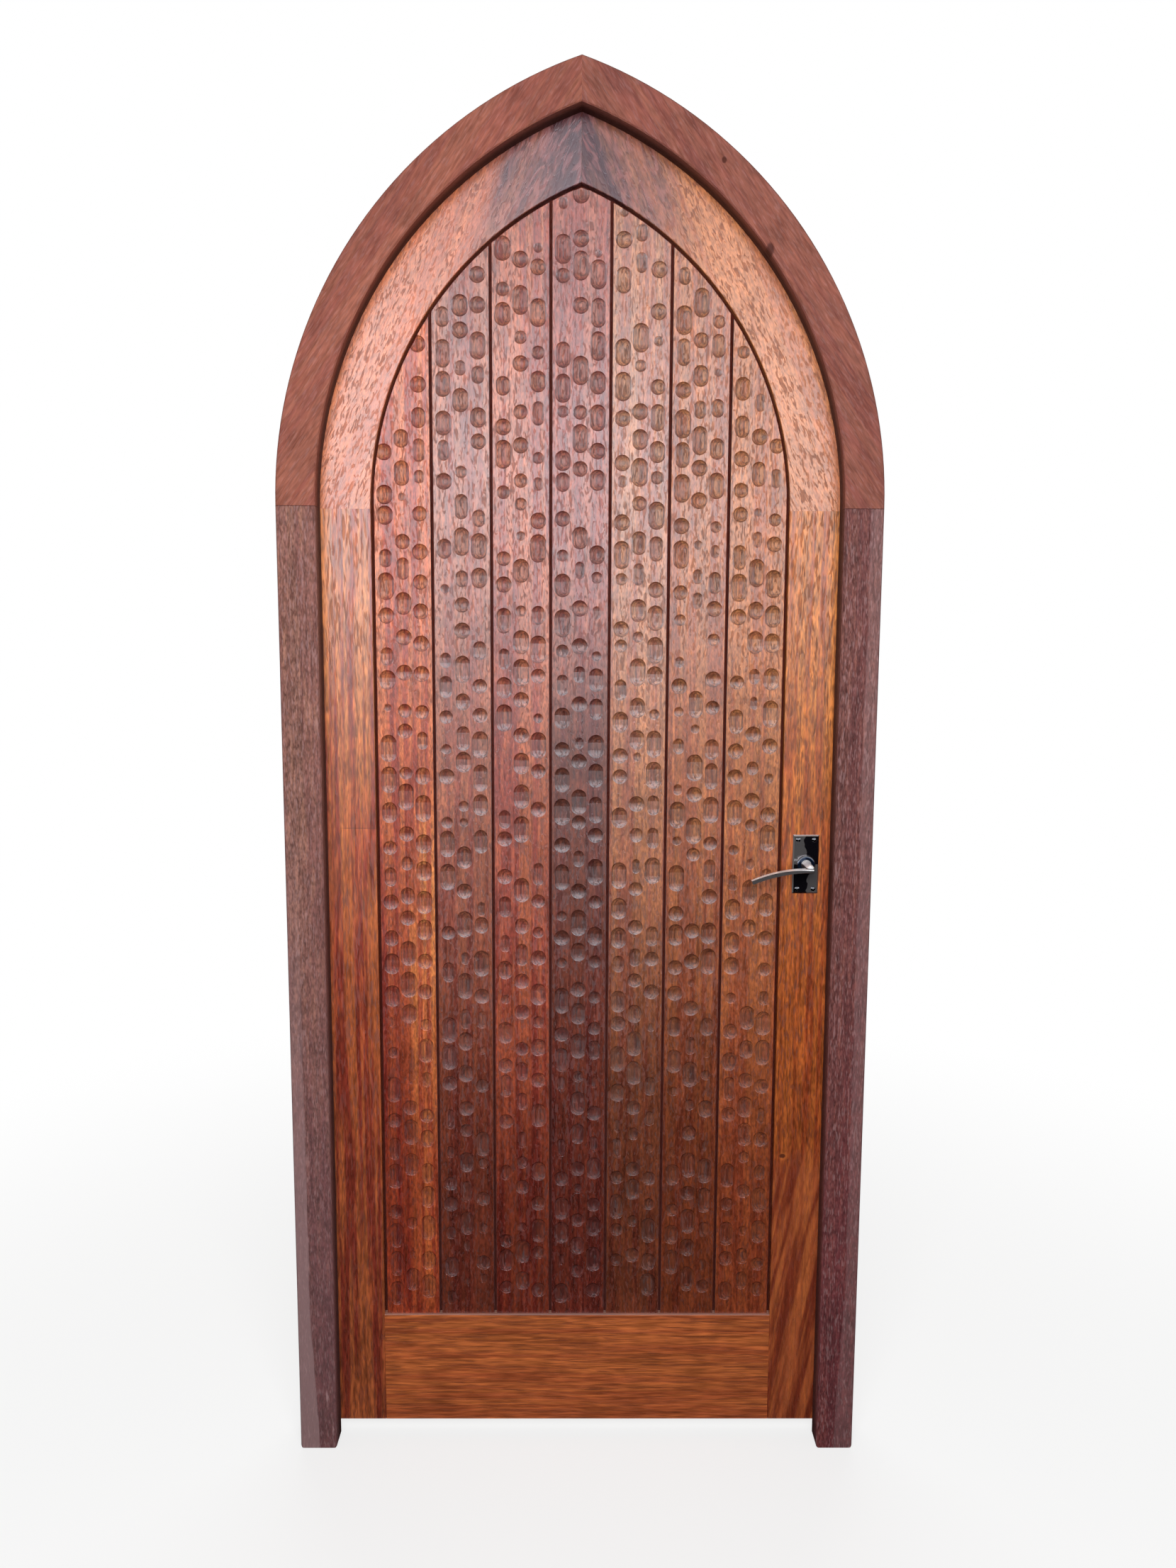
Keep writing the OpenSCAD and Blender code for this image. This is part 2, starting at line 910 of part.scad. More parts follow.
// Section of a latch plate of the given width, standing out along -y
module plate_section(width) {
    polygon([
        [-width / 2, 0],
        [-width / 2, -plate_edge_t],
        [-width / 2 + plate_bevel, -plate_t],
        [width / 2 - plate_bevel, -plate_t],
        [width / 2, -plate_edge_t],
        [width / 2, 0]
    ]);
}

module plate_blank() {
    intersection() {
        linear_extrude(plate_h, center = true)
            plate_section(plate_w);
        rotate([0, 90, 0])
            linear_extrude(plate_w, center = true)
                plate_section(plate_h);
    }
}

// Round boss, as a section turned about the spindle
module boss_section() {
    square([boss_r, boss_h - boss_round]);
    square([boss_r - boss_round, boss_h]);
    translate([boss_r - boss_round, boss_h - boss_round])
        circle(r = boss_round);
}

module latch_plate() {
    at_handle()
        difference() {
            union() {
                plate_blank();
                translate([0, -plate_t, 0])
                    rotate([90, 0, 0])
                        rotate_extrude()
                            intersection() {
                                boss_section();
                                square([boss_r, boss_h]);
                            }
            }
            translate([0, overrun, 0])
                rotate([90, 0, 0])
                    cylinder(h = plate_t + boss_h + 2 * overrun, r = hub_r + hub_fit);
            plate_screw_places()
                screw(plate_screw_l, screw_fit);
        }
}

module plate_screw_places() {
    for (across = [-1, 1])
        for (up = [-1, 1])
            translate([across * plate_screw_dx / 2, -plate_t, up * plate_screw_dz / 2])
                rotate([-90, 0, 0])
                    children();
}

module plate_screw_set(fit = 0) {
    at_handle()
        plate_screw_places()
            screw(plate_screw_l, fit);
}

module front_plate() {
    color(nickel_tone)
        latch_plate();
}

module rear_plate() {
    color(nickel_tone)
        mirror([0, 1])
            latch_plate();
}

// Raised-head screws of a latch plate
module plate_screws() {
    plate_screw_set();
    at_handle()
        plate_screw_places()
            screw_dome();
}

module front_plate_screws() {
    color(nickel_tone)
        plate_screws();
}

module rear_plate_screws() {
    color(nickel_tone)
        mirror([0, 1])
            plate_screws();
}

// Hub in the boss, flaring down to the neck that carries the blade, turned about the spindle
module neck() {
    hub_end = plate_t + boss_h + hub_play;
    neck_end = lever_reach - blade_d / 2;
    rotate([90, 0, 0])
        rotate_extrude()
            polygon([
                [0, hub_play],
                [hub_r, hub_play],
                [hub_r, hub_end],
                [neck_r, hub_end + neck_flare_l],
                [neck_r, neck_end],
                [0, neck_end]
            ]);
    translate([0, -neck_end, 0])
        sphere(r = neck_r);
}

// Section of the blade, with rounded corners, radius out from the bend's centre
module blade_section() {
    for (across = [0, 1])
        for (through = [0, 1])
            translate([
                lever_r - blade_t / 2 + blade_round + across * (blade_t - 2 * blade_round),
                lever_reach - blade_d + blade_round + through * (blade_d - 2 * blade_round)
            ])
                circle(r = blade_round);
    translate([lever_r - blade_t / 2, lever_reach - blade_d + blade_round])
        square([blade_t, blade_d - 2 * blade_round]);
    translate([lever_r - blade_t / 2 + blade_round, lever_reach - blade_d])
        square([blade_t - 2 * blade_round, blade_d]);
}

// Blade bent in an arc that falls away from the spindle, narrowing to its tip
module blade() {
    intersection() {
        translate([0, 0, -lever_r - blade_sink])
            rotate([0, lever_past_angle - 90, 0])
                rotate([90, 0, 0])
                    rotate_extrude(angle = lever_tip_angle + lever_past_angle)
                        blade_section();
        linear_extrude(2 * (lever_drop + blade_sink + blade_d), center = true)
            polygon([
                [blade_d, -lever_reach],
                [0, -lever_reach],
                [-lever_l - blade_t, -lever_reach + (blade_d - blade_tip_d) / 2],
                [-lever_l - blade_t, -lever_reach + (blade_d + blade_tip_d) / 2],
                [-blade_d, blade_d - lever_reach],
                [blade_d, blade_d - lever_reach]
            ]);
    }
}

module lever() {
    socket_w = spindle_w + 2 * spindle_fit;
    at_handle()
        difference() {
            union() {
                neck();
                blade();
            }
            block([-socket_w / 2, -socket_d - spindle_fit, -socket_w / 2], [socket_w / 2, 0, socket_w / 2]);
        }
}

module front_lever() {
    color(nickel_tone)
        lever();
}

module rear_lever() {
    color(nickel_tone)
        mirror([0, 1])
            lever();
}

module spindle() {
    color(steel_tone)
        translate([spindle_x, 0, spindle_z])
            cube([spindle_w, leaf_t + 2 * socket_d, spindle_w], center = true);
}

// Latch

// Room in the lock stile for the latch, its front plate, its screws and the spindle
module latch_pocket() {
    translate([0, 0, spindle_z]) {
        block(
            [case_back_x - case_fit, -case_w / 2 - case_fit, -case_h / 2 - case_fit],
            [leaf_x + overrun, case_w / 2 + case_fit, case_h / 2 + case_fit]
        );
        block(
            [leaf_x - forend_t, -forend_w / 2, -forend_h / 2],
            [leaf_x + overrun, forend_w / 2, forend_h / 2]
        );
        translate([spindle_x, leaf_back_y + overrun, 0])
            rotate([90, 0, 0])
                cylinder(h = leaf_t + 2 * overrun, r = spindle_bore_r);
    }
    forend_screw_set(screw_fit);
}

// Two screws through a plate on the edge of the wood, pointing along +x from x = 0
module edge_screws(fit = 0) {
    screw_dz = (forend_h + case_h) / 2;
    for (up = [-1, 1])
        translate([0, 0, up * screw_dz / 2])
            rotate([0, 90, 0])
                screw(forend_screw_l, fit);
}

module forend_screw_set(fit = 0) {
    translate([leaf_x, 0, spindle_z])
        mirror([1, 0])
            edge_screws(fit);
}

module latch_case() {
    color(steel_tone)
        translate([0, 0, spindle_z])
            difference() {
                block([case_back_x, -case_w / 2, -case_h / 2], [case_front_x, case_w / 2, case_h / 2]);
                difference() {
                    block(
                        [case_back_x + case_wall, -case_inner_w / 2, -case_inner_h / 2],
                        [case_front_x + overrun, case_inner_w / 2, case_inner_h / 2]
                    );
                    block(
                        [partition_x, -case_w / 2, -case_h / 2],
                        [partition_x + case_wall, case_w / 2, case_h / 2]
                    );
                }
                translate([partition_x - overrun, 0, 0])
                    rotate([0, 90, 0])
                        cylinder(h = case_wall + 2 * overrun, r = stem_r + stem_fit);
                translate([spindle_x, case_w, 0])
                    rotate([90, 0, 0])
                        cylinder(h = 2 * case_w, r = follower_r + follower_fit);
            }
}

module latch_forend() {
    color(steel_tone)
        difference() {
            translate([0, 0, spindle_z])
                difference() {
                    block([leaf_x - forend_t, -forend_w / 2, -forend_h / 2], [leaf_x, forend_w / 2, forend_h / 2]);
                    block(
                        [leaf_x - forend_t - overrun, -bolt_w / 2 - bolt_fit, -bolt_h / 2 - bolt_fit],
                        [leaf_x + overrun, bolt_w / 2 + bolt_fit, bolt_h / 2 + bolt_fit]
                    );
                }
            forend_screw_set(screw_fit);
        }
}

module forend_screws() {
    color(steel_tone)
        forend_screw_set();
}

// Hub on the spindle with an upright arm that draws the bolt back
module latch_follower() {
    socket_w = spindle_w + 2 * spindle_fit;
    color(steel_tone)
        translate([spindle_x, 0, spindle_z])
            difference() {
                union() {
                    rotate([90, 0, 0])
                        cylinder(h = case_w, r = follower_r, center = true);
                    block([-arm_tip_r, -arm_t / 2, 0], [arm_tip_r, arm_t / 2, arm_r]);
                    translate([0, 0, arm_r])
                        rotate([90, 0, 0])
                            cylinder(h = arm_t, r = arm_tip_r, center = true);
                }
                cube([socket_w, 2 * case_w, socket_w], center = true);
            }
}

// Tail plate of the bolt: a window round the follower, open above for its arm
module bolt_tail_outline() {
    lug_right = -arm_tip_r - part_clear / 2;
    window_h = 2 * (follower_r + part_clear);
    difference() {
        translate([tail_left, -tail_h / 2])
            square([tail_right - tail_left, tail_h]);
        translate([window_left, -window_h / 2])
            square([window_right - window_left, window_h]);
        translate([lug_right, 0])
            square([window_right - lug_right, tail_h]);
    }
}

module latch_bolt() {
    nose_left = bolt_neck_x;
    nose_right = leaf_x + bolt_reach;
    color(steel_tone)
        translate([0, 0, spindle_z])
            union() {
                linear_extrude(bolt_h, center = true)
                    polygon([
                        [nose_left, -bolt_w / 2],
                        [leaf_x, -bolt_w / 2],
                        [nose_right, bolt_w / 2 - bolt_nose_flat],
                        [nose_right, bolt_w / 2],
                        [nose_left, bolt_w / 2]
                    ]);
                translate([spindle_x + tail_right - tail_bar / 2, 0, 0])
                    rotate([0, 90, 0])
                        cylinder(h = nose_left - spindle_x - tail_right + tail_bar, r = stem_r);
                translate([spindle_x, 0, 0])
                    slab(-tail_t / 2, tail_t / 2)
                        bolt_tail_outline();
            }
}

// Coil spring round the bolt's stem, swept as one tube along a helix
module latch_spring() {
    length = bolt_neck_x - partition_x - case_wall - 2 * (spring_wire_r + spring_clear);
    rings = spring_turns * spring_steps;
    points = [
        for (i = [0 : rings])
            for (j = [0 : spring_sides - 1])
                let (turn = 360 * i / spring_steps)
                let (around = 360 * j / spring_sides)
                let (r = spring_r + spring_wire_r * cos(around))
                let (x = length * i / rings + spring_wire_r * sin(around))
                [x, r * cos(turn), r * sin(turn)]
    ];
    sides = [
        for (i = [0 : rings - 1])
            for (j = [0 : spring_sides - 1])
                let (a = i * spring_sides + j)
                let (b = i * spring_sides + (j + 1) % spring_sides)
                [a, b, b + spring_sides, a + spring_sides]
    ];
    start = [for (j = [spring_sides - 1 : -1 : 0]) j];
    end = [for (j = [0 : spring_sides - 1]) rings * spring_sides + j];
    color(steel_tone)
        translate([partition_x + case_wall + spring_wire_r + spring_clear, 0, spindle_z])
            polyhedron(points, concat(sides, [start, end]));
}

// Strike plate, flush in the rebate of the right jamb

module strike_hole(x_from, x_to) {
    block(
        [x_from, -bolt_w / 2 - strike_room, -bolt_h / 2 - strike_room],
        [x_to, bolt_w / 2 + strike_room, bolt_h / 2 + strike_room]
    );
}

module strike_blank() {
    block(
        [rebate_x, -strike_front_l, -forend_h / 2],
        [rebate_x + forend_t, leaf_back_y - strike_back_gap, forend_h / 2]
    );
}

module strike_screw_set(fit = 0) {
    translate([rebate_x, 0, spindle_z])
        edge_screws(fit);
}

module strike_recess() {
    translate([0, 0, spindle_z]) {
        strike_blank();
        strike_hole(rebate_x - overrun, leaf_x + bolt_reach + strike_room);
    }
    strike_screw_set(screw_fit);
}

module strike_plate() {
    color(steel_tone)
        difference() {
            translate([0, 0, spindle_z])
                difference() {
                    strike_blank();
                    strike_hole(rebate_x - overrun, rebate_x + forend_t + overrun);
                }
            strike_screw_set(screw_fit);
        }
}

module strike_screws() {
    color(steel_tone)
        strike_screw_set();
}

left_jamb();
right_jamb();
left_head();
right_head();
left_frame_tenon();
right_frame_tenon();
frame_key();
hinge_stile();
lock_stile();
left_arched_rail();
right_arched_rail();
bottom_rail();
left_leaf_tenon();
right_leaf_tenon();
leaf_key();
for (i = [1 : plank_count])
    plank(i - 1);
for (i = [1 : hinge_count])
    jamb_flap(i - 1);
for (i = [1 : hinge_count])
    door_flap(i - 1);
for (i = [1 : hinge_count])
    hinge_pin(i - 1);
jamb_hinge_screws();
door_hinge_screws();
front_plate();
rear_plate();
front_plate_screws();
rear_plate_screws();
front_lever();
rear_lever();
spindle();
latch_case();
latch_forend();
forend_screws();
latch_follower();
latch_spring();
latch_bolt();
strike_plate();
strike_screws();
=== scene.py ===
"""Pointed-arch plank door in its frame: finishes, light and camera over the CAD frame, in metres."""

import json
import math
from functools import partial, reduce

import bpy
from mathutils import Matrix, Vector


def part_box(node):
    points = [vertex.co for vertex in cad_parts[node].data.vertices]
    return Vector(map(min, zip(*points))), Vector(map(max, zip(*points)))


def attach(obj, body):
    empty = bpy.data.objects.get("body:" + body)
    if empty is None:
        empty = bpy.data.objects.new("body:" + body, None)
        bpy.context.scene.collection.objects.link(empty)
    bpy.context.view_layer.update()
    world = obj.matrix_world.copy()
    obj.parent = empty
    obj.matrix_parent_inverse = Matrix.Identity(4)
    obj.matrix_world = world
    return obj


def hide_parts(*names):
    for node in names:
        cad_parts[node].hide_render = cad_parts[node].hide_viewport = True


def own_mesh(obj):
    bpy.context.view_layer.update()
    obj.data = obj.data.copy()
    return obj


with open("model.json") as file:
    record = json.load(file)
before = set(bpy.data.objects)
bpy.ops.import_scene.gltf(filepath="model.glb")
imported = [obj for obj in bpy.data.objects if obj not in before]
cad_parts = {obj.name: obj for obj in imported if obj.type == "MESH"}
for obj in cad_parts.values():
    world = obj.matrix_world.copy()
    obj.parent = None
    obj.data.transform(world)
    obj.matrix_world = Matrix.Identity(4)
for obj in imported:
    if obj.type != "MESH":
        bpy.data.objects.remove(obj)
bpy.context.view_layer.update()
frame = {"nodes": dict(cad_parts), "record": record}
nodes = frame["nodes"]
scene = bpy.context.scene
scene.view_settings.view_transform = "Standard"

# Sizes read from the frame
SPRINGING_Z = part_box("left_jamb")[1].z
OUTER_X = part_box("right_jamb")[1].x
INNER_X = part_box("right_jamb")[0].x
FRAME_APEX_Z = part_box("right_head")[1].z
FRAME_FRONT_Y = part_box("right_jamb")[0].y
LEAF_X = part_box("lock_stile")[1].x
LEAF_FRONT_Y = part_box("lock_stile")[0].y
RAIL_TOP_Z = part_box("bottom_rail")[1].z
LEAF_APEX_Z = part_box("right_arched_rail")[1].z
PLANK_FRONT_Y, PLANK_BACK_Y = (corner.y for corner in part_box("plank_1"))
FRAME_RISE = FRAME_APEX_Z - SPRINGING_Z
FRAME_R = (OUTER_X**2 + FRAME_RISE**2) / (2 * OUTER_X)
ARC_X = FRAME_R - OUTER_X
CHORD_LEAN = math.atan2(LEAF_X, LEAF_APEX_Z - SPRINGING_Z)

# Node trees
WHITE = (1.0, 1.0, 1.0)
STRAIGHT_OUT = (0.0, -1.0, 0.0)
# Numbers of the Mix node's sockets for each kind of data: both inputs, then the output
MIX_SOCKETS = {"RGBA": (6, 7, 2), "VECTOR": (4, 5, 1)}


class Nodes:
    """A node tree that is filled one call at a time."""

    def __init__(self, tree):
        self.tree = tree

    def add(self, kind, **settings):
        """A new node with its settings."""
        node = self.tree.nodes.new("ShaderNode" + kind)
        for name, value in settings.items():
            setattr(node, name, value)
        return node

    def plug(self, socket, value):
        """Links a socket to another, or sets it."""
        if isinstance(value, bpy.types.NodeSocket):
            self.tree.links.new(value, socket)
        elif socket.type == "RGBA":
            socket.default_value = (*value, 1.0)
        else:
            socket.default_value = value

    def fed(self, node, *values):
        """Plugs values into a node's sockets in their order, and gives its first output."""
        for socket, value in zip(node.inputs, values):
            self.plug(socket, value)
        return node.outputs[0]

    def named(self, node, **inputs):
        """Plugs values into a node's sockets by name, with underscores for spaces."""
        for name, value in inputs.items():
            self.plug(node.inputs[name.replace("_", " ")], value)
        return node

    def math(self, operation, a, b=0.0):
        return self.fed(self.add("Math", operation=operation), a, b)

    def times(self, *values):
        return reduce(partial(self.math, "MULTIPLY"), values)

    def plus(self, *values):
        return reduce(partial(self.math, "ADD"), values)

    def minus(self, a, b):
        return self.math("SUBTRACT", a, b)

    def unsigned(self, value):
        return self.math("ABSOLUTE", value)

    def apart(self, a, b):
        """How far two values lie apart."""
        return self.unsigned(self.minus(a, b))

    def hypotenuse(self, a, b):
        squares = self.plus(self.math("POWER", a, 2.0), self.math("POWER", b, 2.0))
        return self.math("SQRT", squares)

    def vector(self, operation, a, b):
        return self.fed(self.add("VectorMath", operation=operation), a, b)

    def axes(self, vector):
        node = self.add("SeparateXYZ")
        self.fed(node, vector)
        return node.outputs[0], node.outputs[1], node.outputs[2]

    def mapped(self, vector, location=(0, 0, 0), rotation=(0, 0, 0), scale=(1, 1, 1)):
        return self.fed(self.add("Mapping"), vector, location, rotation, scale)

    def noise(self, vector, scale, detail=2.0, roughness=0.5, twist=0.0, colour=False):
        node = self.add("TexNoise")
        self.named(node, Vector=vector, Scale=scale, Detail=detail)
        self.named(node, Roughness=roughness, Distortion=twist)
        return node.outputs["Color" if colour else 0]

    def span(self, value, low, high, to_low=0.0, to_high=1.0):
        """Smooth step of a value between two limits."""
        node = self.add("MapRange", interpolation_type="SMOOTHSTEP")
        return self.fed(node, value, low, high, to_low, to_high)

    def mix(self, factor, a, b, blend="MIX", kind="RGBA"):
        node = self.add("Mix", data_type=kind, blend_type=blend)
        first, second, result = MIX_SOCKETS[kind]
        self.plug(node.inputs["Factor"], factor)
        self.plug(node.inputs[first], a)
        self.plug(node.inputs[second], b)
        return node.outputs[result]

    def either(self, factor, a, b):
        """One shader or the other, by a factor."""
        return self.fed(self.add("MixShader"), factor, a, b)


class Shader(Nodes):
    """A material that knows where its surface is and which way it faces."""

    def __init__(self, name):
        self.material = bpy.data.materials.new(name)
        self.material.use_nodes = True
        super().__init__(self.material.node_tree)
        self.bsdf = self.tree.nodes["Principled BSDF"]
        coordinates = self.add("TexCoord").outputs
        # Position in the shared frame, because every CAD object sits at the origin
        self.here = coordinates["Object"]
        self.x, self.y, self.z = self.axes(self.here)
        self.facing = coordinates["Normal"]
        self.aside, self.back, self.up = self.axes(self.facing)

    def surface(self, **inputs):
        self.named(self.bsdf, **inputs)

    def spot(self, x, z, half_w, half_h):
        """Distance from a point of the front, 1 on an oval of the given half sizes."""
        across = self.math("DIVIDE", self.minus(self.x, x), half_w)
        up = self.math("DIVIDE", self.minus(self.z, z), half_h)
        return self.hypotenuse(across, up)

    def reach(self):
        """Distance from the door's centre line, or round the arch's own centre above the springing."""
        across = self.plus(self.unsigned(self.x), ARC_X)
        up = self.math("MAXIMUM", self.minus(self.z, SPRINGING_Z), 0.0)
        return self.minus(self.hypotenuse(across, up), ARC_X)

    def bump(self, height, strength, distance, base=None):
        node = self.named(self.add("Bump"), Height=height, Strength=strength, Distance=distance)
        if base:
            self.named(node, Normal=base)
        return node.outputs[0]

    def eased_normal(self, share):
        """The surface's direction turned a share of the way to straight out of the front."""
        eased = self.mix(share, self.facing, STRAIGHT_OUT, kind="VECTOR")
        turn = self.add("VectorTransform", vector_type="NORMAL")
        turn.convert_from = "OBJECT"
        turn.convert_to = "WORLD"
        return self.fed(turn, eased)


def tinted(colour, shares, strength=1.0):
    """A colour scaled by channel, with the scale's distance from one drawn out or in."""
    return tuple(c * max(1.0 + (s - 1.0) * strength, 0.0) for c, s in zip(colour, shares))


# Timber: ribbons of a dull and a golden tone, streaks, growth layers and short dark pores.
# A scale counts a noise's cells to the metre, a stream draws them out along the grain,
# edges are the levels between which a mark fades in, and breaks are the noise's roughness.
NOISE_MEAN = 0.5
SEED_STEP = (1.37, 0.71, 2.13)
WAVER, WAVER_SCALE = 0.016, (4.0, 4.0, 1.1)
DEPTH_STEEPNESS = 2.6
RIBBON_SCALE, RIBBON_STREAM, RIBBON_EDGES = 56.0, 0.014, (0.42, 0.58)
DULL, GOLDEN = (0.80, 0.69, 0.84), (1.17, 1.34, 1.26)
STREAK_SCALE, STREAK_STREAM, STREAK_BREAKS = 150.0, 0.06, 0.6
LIGHT, LIGHT_EDGES, LIGHT_SHARE = (1.55, 1.65, 1.45), (0.48, 0.72), 0.85
PORE, DARK_EDGES, DARK_SHARE = (0.40, 0.32, 0.32), (0.47, 0.28), 0.75
LAYER_SCALE, LAYER_STREAM, LAYER_EDGES = 40.0, 0.12, (0.55, 0.95)
LAYER_RUFFLE, LAYER_SHARE = 1.6, 0.28
FLECK_SCALE, FLECK_STREAM, FLECK_EDGES = 230.0, 0.26, (0.51, 0.62)
FLECK_BREAKS, FLECK_TWIST, FLECK_IN_DULL = 0.6, 0.8, 0.35
GRIT_SCALE, GRIT_STREAM, GRIT_EDGES, GRIT_BREAKS = 300.0, 0.34, (0.28, 0.72), 0.7
MOTTLE_SCALE, MOTTLE_STREAM, MOTTLE_EDGES, MOTTLE = 22.0, 0.8, (0.3, 0.7), 0.12
PORE_ROUGHNESS, STREAK_ROUGHNESS = 0.20, 0.16
RELIEF, RELIEF_DEPTH = 0.22, 0.0005


class Timber(Shader):
    """Hardwood whose grain runs up the piece, leans with an arch, or lies flat."""

    def __init__(
        self,
        name,
        mean,
        seed,
        lean=0.0,
        flat=False,
        ring=(0.006, 0.6),
        pores=0.62,
        streaks=1.0,
        bands=1.0,
        ribbons=RIBBON_SCALE,
        grit=0.32,
        length=1.0,
    ):
        super().__init__(name)
        self.grain = self.wavering(math.pi / 2 if flat else lean, seed)
        self.layers = self.growth(*ring)
        ribbon = self.noise(self.drawn(RIBBON_STREAM), ribbons, detail=1.0)
        self.ribbon = self.span(ribbon, *RIBBON_EDGES)
        self.streak = self.noise(self.drawn(STREAK_STREAM), STREAK_SCALE, roughness=STREAK_BREAKS)
        flecks = self.drawn(FLECK_STREAM / length)
        fleck = self.noise(flecks, FLECK_SCALE, detail=1.0, roughness=FLECK_BREAKS, twist=FLECK_TWIST)
        self.fleck = self.span(fleck, *FLECK_EDGES)
        specks = self.drawn(GRIT_STREAM / length)
        specks = self.noise(specks, GRIT_SCALE, detail=1.0, roughness=GRIT_BREAKS)
        mottle = self.noise(self.mapped(self.grain, scale=(1.0, 1.0, MOTTLE_STREAM)), MOTTLE_SCALE)

        pore = tinted(mean, PORE)
        self.colour = self.mix(self.ribbon, tinted(mean, DULL, bands), tinted(mean, GOLDEN, bands))
        light = self.span(self.streak, *LIGHT_EDGES)
        self.paint(self.times(light, LIGHT_SHARE * streaks), tinted(mean, LIGHT))
        dark = self.span(self.streak, *DARK_EDGES)
        self.paint(self.times(dark, DARK_SHARE * streaks), pore)
        self.paint(self.times(self.layers, LAYER_SHARE * streaks), pore)
        by_ribbon = self.span(self.ribbon, 0.0, 1.0, FLECK_IN_DULL, 1.0)
        self.paint(self.times(self.fleck, by_ribbon, pores), pore)
        self.tint(1.0, self.span(specks, *GRIT_EDGES, 1.0 - grit, 1.0 + grit))
        self.tint(1.0, self.span(mottle, *MOTTLE_EDGES, 1.0 - MOTTLE, 1.0 + MOTTLE))

    def wavering(self, lean, seed):
        """Grain space: the grain lies along z, wavers slowly, and differs from seed to seed."""
        grain = self.mapped(self.here, rotation=(0.0, lean, 0.0))
        grain = self.mapped(grain, location=tuple(seed * step for step in SEED_STEP))
        slow = self.noise(self.mapped(grain, scale=WAVER_SCALE), 1.0, detail=1.0, colour=True)
        sway = self.vector("SUBTRACT", slow, (NOISE_MEAN, NOISE_MEAN, NOISE_MEAN))
        return self.vector("ADD", grain, self.vector("MULTIPLY", sway, (WAVER, WAVER, 0.0)))

    def drawn(self, stream):
        """Grain space drawn out along the piece, and steeper through it, so that cuts show contours."""
        return self.mapped(self.grain, scale=(1.0, DEPTH_STEEPNESS, stream))

    def growth(self, spacing, lean):
        """Thin dark growth layers, tilted across the board, which the dimples cut into contours."""
        x, y, _ = self.axes(self.grain)
        across = self.plus(self.times(x, math.sin(lean)), self.times(y, math.cos(lean)))
        ruffle = self.times(self.noise(self.drawn(LAYER_STREAM), LAYER_SCALE, detail=0.0), LAYER_RUFFLE)
        saw = self.math("FRACT", self.plus(self.math("DIVIDE", across, spacing), ruffle))
        return self.span(saw, *LAYER_EDGES)

    def paint(self, share, tone):
        """Covers a share of the colour with a tone."""
        self.colour = self.mix(share, self.colour, tone)

    def tint(self, share, tone):
        """Multiplies a share of the colour by a tone."""
        self.colour = self.mix(share, self.colour, tone, blend="MULTIPLY")

    def finish(self, roughness, gloss, relief=RELIEF, base=None):
        """Varnish that lies dull over the pores."""
        pores = self.times(self.fleck, PORE_ROUGHNESS)
        streaks = self.times(self.streak, STREAK_ROUGHNESS)
        height = self.minus(self.streak, self.fleck)
        self.surface(
            Base_Color=self.colour,
            Roughness=self.plus(pores, streaks, roughness),
            Specular_IOR_Level=gloss,
            Normal=self.bump(height, relief, RELIEF_DEPTH, base),
        )
        return self.material


def dress(node, material):
    """Gives a CAD node its finish."""
    slots = nodes[node].data.materials
    slots.clear()
    slots.append(material)


# Frame timber: dry, dusty, pale along its outer band and towards the feet, with painted shade in the
# reveals
FRAME_SEED, FRAME_RING, FRAME_BANDS = 1.0, (0.008, 0.9), 0.35
FRAME_ROUGHNESS, FRAME_GLOSS = 0.55, 0.30
# Grain, share of chalk and relief
JAMB_LOOK = ({"pores": 0.5, "streaks": 0.8}, 0.30, 0.35)
HEAD_LOOK = ({"pores": 0.16, "streaks": 0.35, "length": 2.6, "grit": 0.18}, 0.12, 0.15)
DUST, DUSTY_ROWS = (0.30, 0.185, 0.185), (1.30, 0.15)
OUTER_BAND_W, OUTER_BAND_EDGE = 0.022, 0.0015
RAGGED, RAGGED_SCALE, RAGGED_STREAM = 0.008, 60.0, 0.15
CHALK, CHALK_SCALE, CHALK_STREAM = tinted(DUST, (1.3, 1.3, 1.3)), 420.0, 0.16
CHALK_EDGES = (0.54, 0.68)
SCUFF, SCUFF_SCALE, SCUFF_STREAM = tinted(DUST, (1.8, 1.9, 1.9)), 110.0, 0.2
SCUFF_EDGES, SCUFF_SHARE, SCUFF_ROWS = (0.62, 0.74), 0.5, (0.32, 0.02)
# The outer band widens towards the floor
WIDENING, WIDENING_ROWS = 0.012, (0.32, 0.0)
# Dark colour of the joint and knots, also used as painted shade in the reveals, where little light
# reaches
DARK_MARK_AND_REVEAL_SHADE, REVEAL_SHADE_SHARE = (0.030, 0.006, 0.004), 0.92
REVEAL_SHADE_SIDE, REVEAL_SHADE_DEPTH = (0.0018, 0.0006), (0.006, 0.026)
JOINT_HALF_W, JOINT_SHARE = 0.0013, 0.9
# Small dark knots on the right head: place, half width, half height
FRAME_KNOTS = ((0.2295, 2.249, 0.004, 0.005), (0.307, 2.112, 0.006, 0.010))
FRAME_KNOT_RIM, FRAME_KNOT_SHARE = (1.3, 0.7), 0.75
FRAME_WOOD = {
    "left_jamb": {
        "mean": (0.188, 0.083, 0.066),
        "dust": 0.14,
        "band": (0.0, 0.65),
        "foot": (0.67, 0.52, 0.66),
    },
    "right_jamb": {"mean": (0.118, 0.043, 0.038), "band": (0.22, 0.20), "foot": (1.00, 0.66, 0.79)},
    "left_head": {"mean": (0.208, 0.067, 0.046), "lean": -CHORD_LEAN},
    "right_head": {"mean": (0.178, 0.058, 0.042), "lean": CHORD_LEAN},
}


